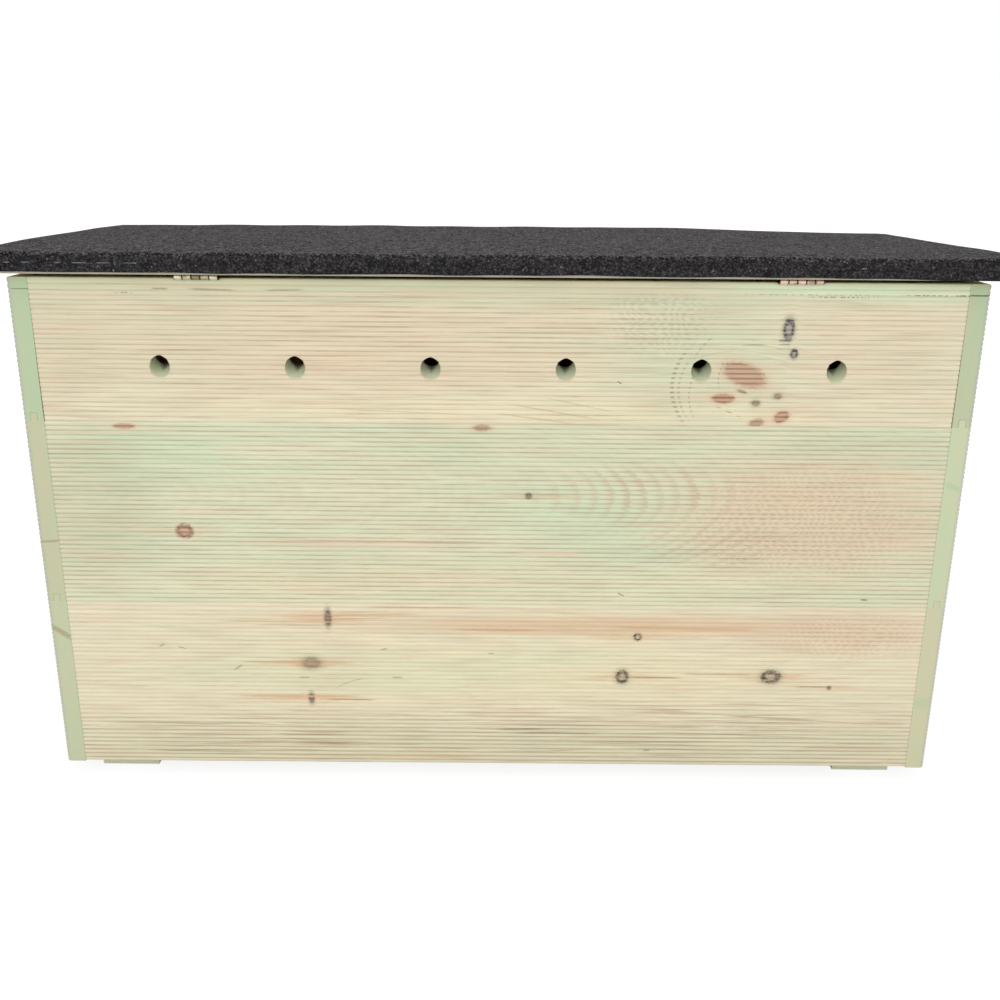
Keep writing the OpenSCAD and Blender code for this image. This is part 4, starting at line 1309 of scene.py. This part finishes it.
def set_camera(scene, stage):
    """A camera that looks at the back wall, tipped, turned and leaning as the settings say."""
    lens = bpy.data.cameras.new("camera")
    lens.lens, lens.sensor_width = stage.lens, SENSOR
    camera = bpy.data.objects.new("camera", lens)
    camera.matrix_world = (
        Matrix.Translation(stage.camera_place)
        @ Matrix.Rotation(math.pi + stage.camera_turn, 4, "Z")
        @ Matrix.Rotation(QUARTER - stage.camera_tip, 4, "X")
        @ Matrix.Rotation(stage.camera_roll, 4, "Z")
    )
    scene.collection.objects.link(camera)
    scene.camera = camera


def set_sky(scene, stage):
    """A white sky that shows white and lights the object with its own strength."""
    world = bpy.data.worlds.new("white sky")
    world.use_nodes = True
    world.node_tree.nodes.clear()
    n = Nodes(world.node_tree)
    strength = n.ramp(seen(n), 0.0, 1.0, stage.sky, 1.0)
    sky = n.node("Background", color=WHITE, strength=strength)["Background"]
    n.node("OutputWorld", surface=sky)
    scene.world = world


def lay_floor(stage):
    """A pale floor that keeps the object's shadow near it, and whose own light, which only the
    camera and gloss see, makes it white."""
    reach = 60.0
    x, y = np.meshgrid((-reach, reach), (-reach, reach), indexing="xy")
    points = np.stack([x, y, np.zeros_like(x)], -1).reshape(-1, 3)
    floor = mesh_object("floor", points, grid_faces(2, 2))
    paper = bpy.data.materials.new("white floor")
    paper.use_nodes = True
    paper.node_tree.nodes.clear()
    n = Nodes(paper.node_tree)
    paper_grey, lightest = 0.86, 1.06
    lit = n.node("BsdfDiffuse", color=(paper_grey, paper_grey, paper_grey))["BSDF"]
    part = lightest - stage.floor_white
    shown = n.node("BsdfDiffuse", color=(part, part, part))["BSDF"]
    near, far = 0.6, 1.8
    strength = n.ramp(n.vector("LENGTH", n.place()), near, far, stage.floor_white, 1.0)
    glow = n.node("Emission", color=WHITE, strength=strength)["Emission"]
    both = n.fill("AddShader", None, shown, glow)[0]
    pick = n.fill("MixShader", None, seen(n), lit, both)[0]
    n.node("OutputMaterial", surface=pick)
    floor.data.materials.append(paper)


class HEDGEHOG_OT_stage(bpy.types.Operator):
    """Set up the camera, the floor, the white sky and the soft lamps"""

    bl_idname = "hedgehog.stage"
    bl_label = "Stage"

    def execute(self, context):
        stage = settings(context)["stage"]
        context.scene.view_settings.view_transform = "Standard"
        set_camera(context.scene, stage)
        set_sky(context.scene, stage)
        lay_floor(stage)
        middle = sum(CAD_BOX, Vector()) / 2
        above_camera, above_roof = (0.5, 2.0, 1.5), (-0.2, 0.2, 2.2)
        soft_lamp("key lamp", stage.key, 2.4, 1.4, above_camera, middle)
        soft_lamp("overhead lamp", stage.overhead, 2.4, 1.8, above_roof, middle)
        return {"FINISHED"}


class HEDGEHOG_PT_panel(bpy.types.Panel):
    """The steps of the hedgehog house in the sidebar"""

    bl_label = "Hedgehog house"
    bl_idname = "HEDGEHOG_PT_panel"
    bl_space_type = "VIEW_3D"
    bl_region_type = "UI"
    bl_category = "Hedgehog house"

    def draw(self, context):
        for operator in OPERATORS:
            self.layout.operator(operator.bl_idname)
        for group in settings(context).values():
            box = self.layout.box()
            for name in group.bl_rna.properties.keys():
                if name not in ("rna_type", "name"):
                    box.prop(group, name)


GROUPS = {
    "pine": HEDGEHOG_PG_pine,
    "timber": HEDGEHOG_PG_timber,
    "felt": HEDGEHOG_PG_felt,
    "metal": HEDGEHOG_PG_metal,
    "stage": HEDGEHOG_PG_stage,
}
OPERATORS = (
    HEDGEHOG_OT_stage,
    HEDGEHOG_OT_boards,
    HEDGEHOG_OT_timber,
    HEDGEHOG_OT_felt,
    HEDGEHOG_OT_metal,
)
CLASSES = (*GROUPS.values(), *OPERATORS, HEDGEHOG_PT_panel)


def register():
    for cls in CLASSES:
        bpy.utils.register_class(cls)
    for name, group in GROUPS.items():
        setattr(bpy.types.Scene, "hedgehog_" + name, PointerProperty(type=group))


def unregister():
    for name in GROUPS:
        delattr(bpy.types.Scene, "hedgehog_" + name)
    for cls in reversed(CLASSES):
        bpy.utils.unregister_class(cls)


def main():
    register()
    bpy.ops.hedgehog.stage()
    bpy.ops.hedgehog.boards()
    bpy.ops.hedgehog.timber()
    bpy.ops.hedgehog.felt()
    bpy.ops.hedgehog.metal()


if __name__ == "__main__":
    main()
